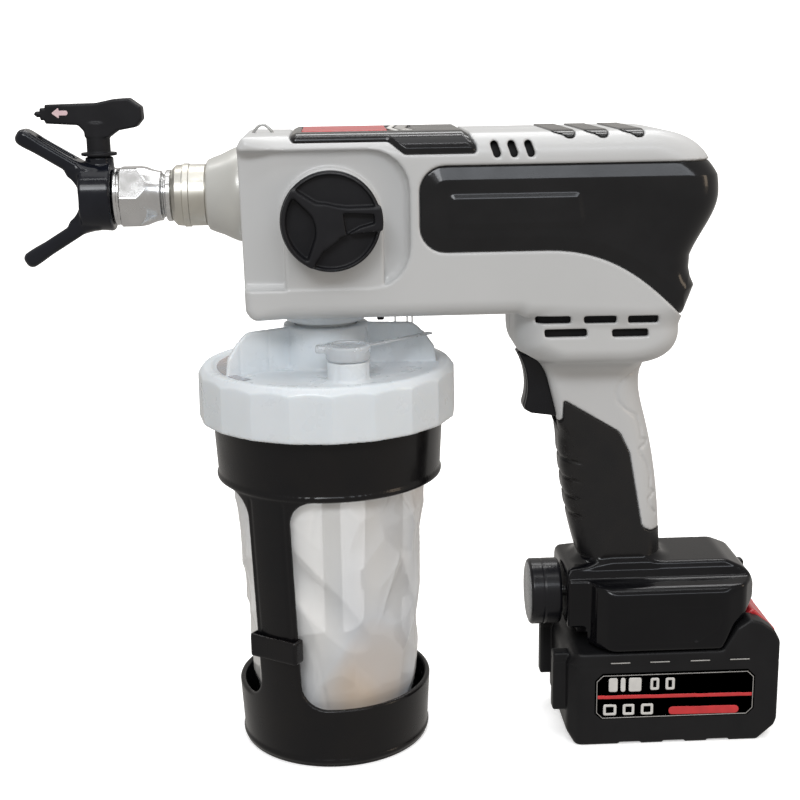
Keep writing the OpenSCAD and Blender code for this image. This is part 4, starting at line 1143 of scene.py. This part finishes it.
def liner():
    """A thin bag that hangs from its rim, creased and dented, with a flat foot."""
    rng = np.random.default_rng(7)
    steps, rows = ((360, 230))
    profile = np.array([(14.4, 0), (14.4, 30), (15.5, 36), (20, 42), (34, 45), (60, 46.6), (90, 48),
                        (120, 50.5), (150, 53.2), (178, 55.2), (200, 55.6), (202.0, 55.8), (202.2, 59)],
                       float)
    runs = np.concatenate([[0], np.cumsum(np.hypot(*np.diff(profile, axis=0).T))])
    s = np.linspace(0, runs[-1], rows)
    height, radius = np.interp(s, runs, profile[:, 0]), np.interp(s, runs, profile[:, 1])
    angle = np.linspace(0, 2 * math.pi, steps, endpoint=False)
    a, k = np.meshgrid(angle, np.arange(rows), indexing="ij")
    h, r = height[k], radius[k]
    push = np.zeros_like(h)
    for _ in range(60):  # flat dents: each is a plane that cuts a little off the round wall
        ca, ch = rng.uniform(0, 2 * math.pi), rng.uniform(26, 176)
        wide, tall, depth = rng.uniform(0.25, 0.6), rng.uniform(14, 44), rng.uniform(1.0, 3.4)
        turn = np.mod(a - ca + math.pi, 2 * math.pi) - math.pi
        lean = rng.uniform(-0.02, 0.02) * (h - ch)
        q = ((turn + lean) / wide) ** 2 + ((h - ch) / tall) ** 2
        push = np.maximum(push, depth * np.clip(1 - q, 0, 1))
    for _ in range(70):  # sharp creases: narrow ridges along slanted lines
        ca, ch = rng.uniform(0, 2 * math.pi), rng.uniform(20, 190)
        slope, long = rng.uniform(-0.9, 0.9), rng.uniform(14, 46)
        turn = (np.mod(a - ca + math.pi, 2 * math.pi) - math.pi) * 48
        u = turn * math.cos(slope) + (h - ch) * math.sin(slope)
        v = -turn * math.sin(slope) + (h - ch) * math.cos(slope)
        fade = np.clip(1 - (v / long) ** 2, 0, 1)
        push += rng.uniform(-0.9, 0.7) * fade * np.exp(-np.abs(u) / 1.6)
    firm = ramp(h, 15, 30) * (1 - ramp(h, 186, 200))
    r = r - np.clip(push, -1.0, 4.5) * firm
    points = np.stack([r * np.cos(a), r * np.sin(a), h], axis=-1).reshape(-1, 3)
    index = np.arange(steps * rows).reshape(steps, rows)
    nxt = np.roll(index, -1, axis=0)
    faces = np.stack([index[:, :-1], nxt[:, :-1], nxt[:, 1:], index[:, 1:]], axis=-1).reshape(-1, 4)
    piece = mesh_object("clear_liner_bag", points, faces)
    tidy_mesh(piece)
    return piece


bag = liner()
finish_piece(bag, "cup", FILM, ("liner_bag",))


# ---------- base, dial and battery ----------

MOUNT_TOP = HAND
MOUNT_SIDE = outline(corners(
    (124.5, 63, 1.5), (124.5, 93, 2.5), (127, 95.2, 3), (145, 97, 8), (150, MOUNT_TOP, 10),
    (211, MOUNT_TOP, 6), (222, 93, 8), (229, 84, 5), (228.5, 77, 3), (222, 72, 6), (214, 66.5, 6),
    (206.5, 53.5, 3), (136, 53.5, 1), (134, 63, 1.5)))
MOUNT_PLAN = outline(corners(*both_sides([
    (124.5, 26, 3), (137, 26, 3), (139.5, 31, 4), (147, 38, 9), (207, 38, 9), (219, 33, 8), (226, 22, 9),
    (229, 8, 10)])))
MOUNT_SECTION = outline(corners(*[(y, z, r) for z, y, r in both_sides([
    (40, 38, 1), (84.5, 38, 5), (88.4, 34.5, 5), (90, 24.5, 2.5), (94, 21, 2), (MOUNT_TOP, 19, 2.2)])]))
MOUNT_PANEL = outline(corners(
    (147.0, 57.8, 4), (193, 57.6, 6), (205.4, 66, 5), (205.2, 77.5, 4), (147.2, 77.5, 4)))


def mount_field(x, y, z):
    """Battery base: a narrow front block and shelves with long soft shoulders.

    A raised middle carries the handle.
    """
    out = np.abs(y)
    d = both(both(MOUNT_SIDE(x, z), MOUNT_PLAN(x, y), 2.5), MOUNT_SECTION(y, z), 1.5)
    d = either(d, both(handle(x, y, z) + 0.4, slab(z, 88, 106), 0.3), 7.0)
    panel = np.abs(MOUNT_PANEL(x, z))
    d = d + 0.3 * on_line(panel, 0.5) * (out > 30)
    d = d + 0.35 * on_line(z - 83.2, 0.45) * (out > 30) * ramp(x, 150, 156) * (1 - ramp(x, 200, 208))
    hook = block(x, y - 26, z, (214, -3.2, 74), (234.5, 3.2, 81), 1.6)
    d = either(d, hook, 0.8)
    return less(d, both(out - 25.2, z - 63.5, 0.4), 0.5)


mount = moulded("battery_mount_housing", mount_field, (123.5, -39, 53), (236.2, 39, 108), 0.75)
finish_piece(mount, "gun", MOUNT, ("battery_mount",))

DIAL_Z = 75.5
dial_far, dial_near = box_mm("speed_dial")[0][0], box_mm("speed_dial")[1][0]


def dial_field(x, y, z):
    """Plain thumb dial with soft edges and one fine line round it."""
    radius = np.hypot(y, z - DIAL_Z)
    line = 0.3 * on_line(x - 114.6, 0.4)
    return both(radius - 18 + line, slab(x, dial_far + 0.4, dial_near), 1.8)


dial = moulded("speed_dial_body", dial_field, (dial_far - 0.5, -18.5, DIAL_Z - 18.5),
               (dial_near + 0.5, 18.5, DIAL_Z + 18.5), 0.45)
finish_piece(dial, "dial", SATIN, ("speed_dial",))
# the face's grey is partly its own colour and partly a painted reflection
face = turned("speed_dial_face", [
    (dial_far, 0), (dial_far, 15.4), (dial_far + 0.3, 16.0), (dial_far + 1.0, 16.2), (dial_far + 1.0, 0)],
    (0, 0, DIAL_Z))
finish_piece(face, "dial", DIAL_GREY_AND_REFLECTION)

_, pack_high = box_mm("battery_case")
PACK_W, PACK_TOP, PACK_TAIL = pack_high[1], 52.5, pack_high[0]
PACK_SIDE = outline(corners(
    (128.5, 0, 1.5), (124.2, 6.5, 3), (123.8, 45, 3), (128, PACK_TOP, 4), (207.2, PACK_TOP, 2),
    (214.6, 64.8, 3), (221.5, 69.5, 3), (228, 67.5, 4), (235, 62.5, 3), (PACK_TAIL, 56, 4),
    (PACK_TAIL, 12, 3), (PACK_TAIL - 2, 8, 4), (PACK_TAIL - 11, 0, 1.5)))
PACK_PLAN = outline(corners(*both_sides([
    (123.6, PACK_W - 8, 5), (131, PACK_W, 6), (PACK_TAIL + 0.4, PACK_W, 3.5)])))
LABEL = outline(corners(
    (142.2, 15.6), (221.2, 15.6), (225.2, 19.6), (225.2, 38.6), (221.2, 42.6), (142.2, 42.6),
    (138.2, 38.6), (138.2, 19.6)), step=0.1, margin=4)
PACK_TILT = -0.012  # the label's lines fall a little towards the tail
LABEL_DROP = 0.9
DASHES = (146.6, 167.8, 189.5, 210.8)


latch_low, latch_high = box_mm("battery_latch")


def pack_field(x, y, z):
    """Pack with chamfered corners, grip ribs at the front, a seam, dashes above the label and feet below."""
    side = both(PACK_SIDE(x, z), PACK_PLAN(x, y), 1.6)
    d = both(side, np.abs(y) - PACK_W + 0.35 * ramp(z, 43, 52), 2.4)
    ribs = block(x, np.abs(y) - 23.5, z, (117.4, -4, 17), (126, 4, 50), 1.0)
    d = either(d, ribs, 0.8)
    rail = block(x, y, z, (141.2, -24.6, 50), (215, 24.6, 62.6), 0.8)
    d = either(d, rail, 0.4)
    seam = np.abs(z - 45.2)
    d = d + 0.28 * on_line(seam, 0.45) * ((np.abs(y) > 30) | (x < 126) | (x > 236))
    for x0 in DASHES:
        dash = rectangle(x, z, (x0, 47.6), (x0 + 10.8, 49.0), 0.6)
        d = less(d, both(dash, PACK_W - 0.9 - np.abs(y), 0.2), 0.3)
    d = less(d, both(LABEL(x, z + LABEL_DROP) - 0.25, PACK_W - 0.6 - np.abs(y), 0.15), 0.3)
    for x0 in (152, 176, 200):
        notch = both(rectangle(x, z, (x0, -2), (x0 + 12, 1.1), 0.5), 30 - np.abs(y), 0.3)
        d = less(d, notch, 0.5)
    pocket = both(both(slab(x, latch_low[0] - 0.4, 250), np.abs(y) - latch_high[1] - 0.4, 0.8), 48 - z, 0.5)
    return less(d, pocket, 0.6)


case = moulded("battery_case_shell", pack_field, (116.5, -38.5, -0.5), (240, 38.5, 71), 0.85)
finish_piece(case, "battery", PACK, ("battery_case",))


LATCH_SIDE = outline(corners(
    (latch_low[0], 51, 0.5), (latch_low[0], 67.4, 1.5), (226.2, 71.0, 2.5), (PACK_TAIL + 0.4, 58.2, 1.5),
    (PACK_TAIL + 0.4, 51, 0.5)))


def latch_field(x, y, z):
    """Release button: a sloped face with finger ribs across it."""
    d = both(LATCH_SIDE(x, z), np.abs(y) - latch_high[1], 1.2)
    slope = (x - 226) * 0.69 - (z - 71) * 0.72
    ribs = 0.35 * on_line(np.mod(slope, 3.2) - 1.6, 0.7) * ramp(x, 227, 229) * (np.abs(y) < 17)
    return d + ribs


latch = moulded("battery_latch_button", latch_field, (latch_low[0] - 1, latch_low[1] - 1, 50.5),
                (PACK_TAIL + 2, latch_high[1] + 1, 72), 0.45)
finish_piece(latch, "latch", RED, ("battery_latch",))


def print_field(shape, low, high):
    """A thin printed layer on both sides of the pack, from its depth below the side to its height."""
    def field(x, y, z):
        return both(shape(x, z + LABEL_DROP), slab(np.abs(y), PACK_W - low, PACK_W - high), 0.05)
    return field


def label_print(name, shape, low, high, paint, cell=0.3, depth=(0.45, 0.1)):
    for side in (-1, 1):
        y0, y1 = (-PACK_W - 0.3, -PACK_W + 1) if side < 0 else (PACK_W - 1, PACK_W + 0.3)
        bit = moulded(name + ("_left" if side < 0 else "_right"), print_field(shape, *depth),
                      (low[0], y0, low[1] - LABEL_DROP), (high[0], y1, high[1]), cell)
        finish_piece(bit, "battery", paint,
                     ("battery_label",) if name == "pack_label_plate" else ())


def level(x, z, at):
    return z - at - PACK_TILT * (x - 181)


def level_bar(at, half, low, high, r=0.0):
    def shape(x, z):
        return both(np.abs(level(x, z, at)) - half, slab(x, low, high), r)
    return shape


label_print("pack_label_plate", LABEL, (137, 14.5), (226.5, 44), GLOSS, 0.5, (0.7, 0.35))
label_print("pack_label_frame", lambda x, z: np.abs(LABEL(x, z) + 1.3) - 0.22, (138, 15.5), (226, 43),
            SILVER_LINE, 0.26)
label_print("pack_label_stripe", level_bar(28.6, 1.05, 139.9, 223.5), (139, 26.5), (224.5, 31), PRINT_RED)
label_print("pack_label_pill", level_bar(20.0, 2.3, 178.4, 216.6, 2.2), (177.5, 16.8), (217.5, 23), PRINT_RED)

BARS = [(145.8, 150.6, 31.6, 39.6), (152.2, 154.8, 31.6, 39.6), (156.6, 163.4, 31.6, 39.6),
        (168.2, 173.0, 32.2, 39.2), (176.4, 181.4, 32.2, 39.2),
        (143.0, 150.2, 18.0, 24.4), (153.6, 160.0, 18.0, 24.4), (163.4, 170.2, 18.0, 24.4)]


def bars(x, z):
    """Plain blocks where a rating would be printed, the first three full: no letters or signs."""
    def bar(x0, x1, z0, z1):
        full = rectangle(x, level(x, z, 0), (x0, z0), (x1, z1), 1.1)
        return full if x0 < 165 and z0 > 20 else np.maximum(full, -(full + 1.5))
    return nearest(bar(*place) for place in BARS)


def dashes(x, z):
    return nearest(rectangle(x, z - LABEL_DROP, (x0, 47.2), (x0 + 10.6, 47.8), 0.1) for x0 in DASHES)


label_print("pack_label_blocks", bars, (142, 17), (183, 41), PRINT_WHITE)
label_print("pack_dashes", dashes, (145, 46), (223, 49.5), SILVER_LINE, 0.26, (0.7, -0.02))


# ---------- finishes for the CAD parts that stay as they are ----------

BRASS = finish_material("cut_brass", (0.62, 0.44, 0.20), (0.52, 0.38, 0.18), rough=0.28, patch=90, grain=1800,
                        depth=0.01, metal=1.0)
DARK_STEEL = finish_material("rotor_steel", (0.32, 0.32, 0.33), (0.25, 0.25, 0.27), rough=0.38, patch=90,
                             grain=1800, depth=0.015, metal=1.0)
ORANGE = finish_material("seal_orange", (0.60, 0.22, 0.05), (0.52, 0.18, 0.04), rough=0.5, patch=90,
                         grain=2200, depth=0.02)
BOARD = finish_material("board_green", (0.02, 0.13, 0.06), (0.015, 0.10, 0.05), patch=120, grain=2500,
                        depth=0.01)
CELL = finish_material("cell_wrap", (0.05, 0.16, 0.42), (0.04, 0.13, 0.36), rough=0.3, patch=90,
                       grain=2200, depth=0.01)
TUBE = finish_material("clear_tube", (0.80, 0.84, 0.86), (0.74, 0.79, 0.82), rough=0.18, patch=50, depth=0.01,
                       Transmission_Weight=0.55)

KEPT = {
    "bright_steel": (STEEL, "housing_screws inlet_ball outlet_ball plunger plunger_spring dial_shaft "
                            "prime_valve_stem trigger_spring planet_carrier cam_bearing"),
    "cast_body": (CAST, "pump_block gearbox_plate"),
    "strainer": (DARK_STEEL, "inlet_strainer motor_can motor_rotor ring_gear"),
    "gear_brass": (BRASS, "sun_gear planet_gear_1 planet_gear_2 planet_gear_3"),
    "seal": (ORANGE, "tip_seal cap_gasket"),
    "carbide": (DARK_STEEL, "tip_orifice"),
    "circuit": (BOARD, "control_board"),
    "cell_wrap": (CELL, "battery_cells"),
    "clear_tube": (TUBE, "suction_tube return_tube"),
    "fan_black": (MATTE, "cooling_fan trigger_switch terminal_block"),
    "white_plastic": (CLEARER, "plug_strap"),
}
for paint, names in KEPT.values():
    for node in names.split():
        for part in [o for o in bpy.data.objects if o.get("node") == node or o.name == node]:
            for place in part.material_slots:
                place.material = paint


# ---------- camera, floor and lights ----------

def look(yaw, pitch, roll):
    """Camera turn from its heading, its downward pitch and its roll, in radians."""
    forward = Vector((math.sin(yaw) * math.cos(pitch), math.cos(yaw) * math.cos(pitch), -math.sin(pitch)))
    right = Vector((math.cos(yaw), -math.sin(yaw), 0))
    up = right.cross(forward)
    turned_right = right * math.cos(roll) + up * math.sin(roll)
    turned_up = up * math.cos(roll) - right * math.sin(roll)
    return Matrix((turned_right, turned_up, -forward)).transposed().to_4x4()


camera = add_object("camera", bpy.data.cameras.new("camera"))
camera.data.lens = 63
camera.data.sensor_width = 36
camera.data.clip_start = 0.02
camera.matrix_world = Matrix.Translation(Vector((6, -721, 363)) * MM) @ look(0.0447, 0.2408, -0.0156)
bpy.context.scene.camera = camera


def backdrop():
    """A pale floor that curves up into a wall far behind the object."""
    bend, back, side, height = 0.8, 2.6, 5.0, 4.0
    path = [(-5.0, 0.0), (back - bend, 0.0)]
    path += [(back - bend + bend * math.sin(t), bend - bend * math.cos(t))
             for t in np.linspace(0.1, math.pi / 2, 14)]
    path.append((back, height))
    points = [(x * 1000, y * 1000, z * 1000) for y, z in path for x in (-side, side)]
    faces = [(2 * i, 2 * i + 1, 2 * i + 3, 2 * i + 2) for i in range(len(path) - 1)]
    return mesh_object("studio_floor", points, faces)


floor = backdrop()
paper = finish_material("floor_paper", (0.95, 0.95, 0.95), (0.93, 0.93, 0.93), rough=0.8, patch=3, grain=300,
                        depth=0.02, Specular_IOR_Level=0.1, Emission_Strength=0.4)
floor.data.materials.append(paper)
floor.visible_diffuse = floor.visible_glossy = False


def area_light(name, place, target, size, power, colour=(1, 1, 1)):
    lamp = bpy.data.lights.new(name, "AREA")
    lamp.shape = "RECTANGLE"
    lamp.size, lamp.size_y = size
    lamp.energy = power
    lamp.color = colour
    item = add_object(name, lamp)
    item.location = place
    item.rotation_euler = (Vector(target) - Vector(place)).to_track_quat("-Z", "Y").to_euler()


area_light("soft_top", (0.1, -0.15, 1.7), (0.05, 0.0, 0.2), (1.0, 0.8), 3.5, (0.97, 0.985, 1.0))
area_light("thin_top", (0.1, -0.5, 1.45), (0.08, 0.0, 0.2), (1.3, 0.03), 1.6, (0.96, 0.98, 1.0))
area_light("band_top", (0.3, -1.5, 1.36), (0.08, 0.0, 0.3), (1.8, 0.28), 8, (0.88, 0.93, 1.0))
area_light("soft_front", (-0.5, -1.6, 1.5), (0.05, 0, 0.2), (0.8, 0.6), 12, (0.97, 0.985, 1.0))
area_light("strip_back", (0.25, 0.9, 1.3), (0.08, 0, 0.25), (0.9, 0.25), 4)
area_light("warm_side", (1.5, -0.6, 0.6), (0.1, 0, 0.2), (0.3, 0.7), 3, (1.0, 0.80, 0.60))
area_light("backdrop_wash", (0.0, 0.9, 2.4), (0.0, 2.4, 0.9), (3.0, 0.5), 60)
world = bpy.data.worlds.new("studio")
world.use_nodes = True
world.node_tree.nodes["Background"].inputs["Color"].default_value = (1.0, 0.965, 0.92, 1)
world.node_tree.nodes["Background"].inputs["Strength"].default_value = 0.48
bpy.context.scene.world = world
bpy.context.scene.view_settings.view_transform = "Standard"
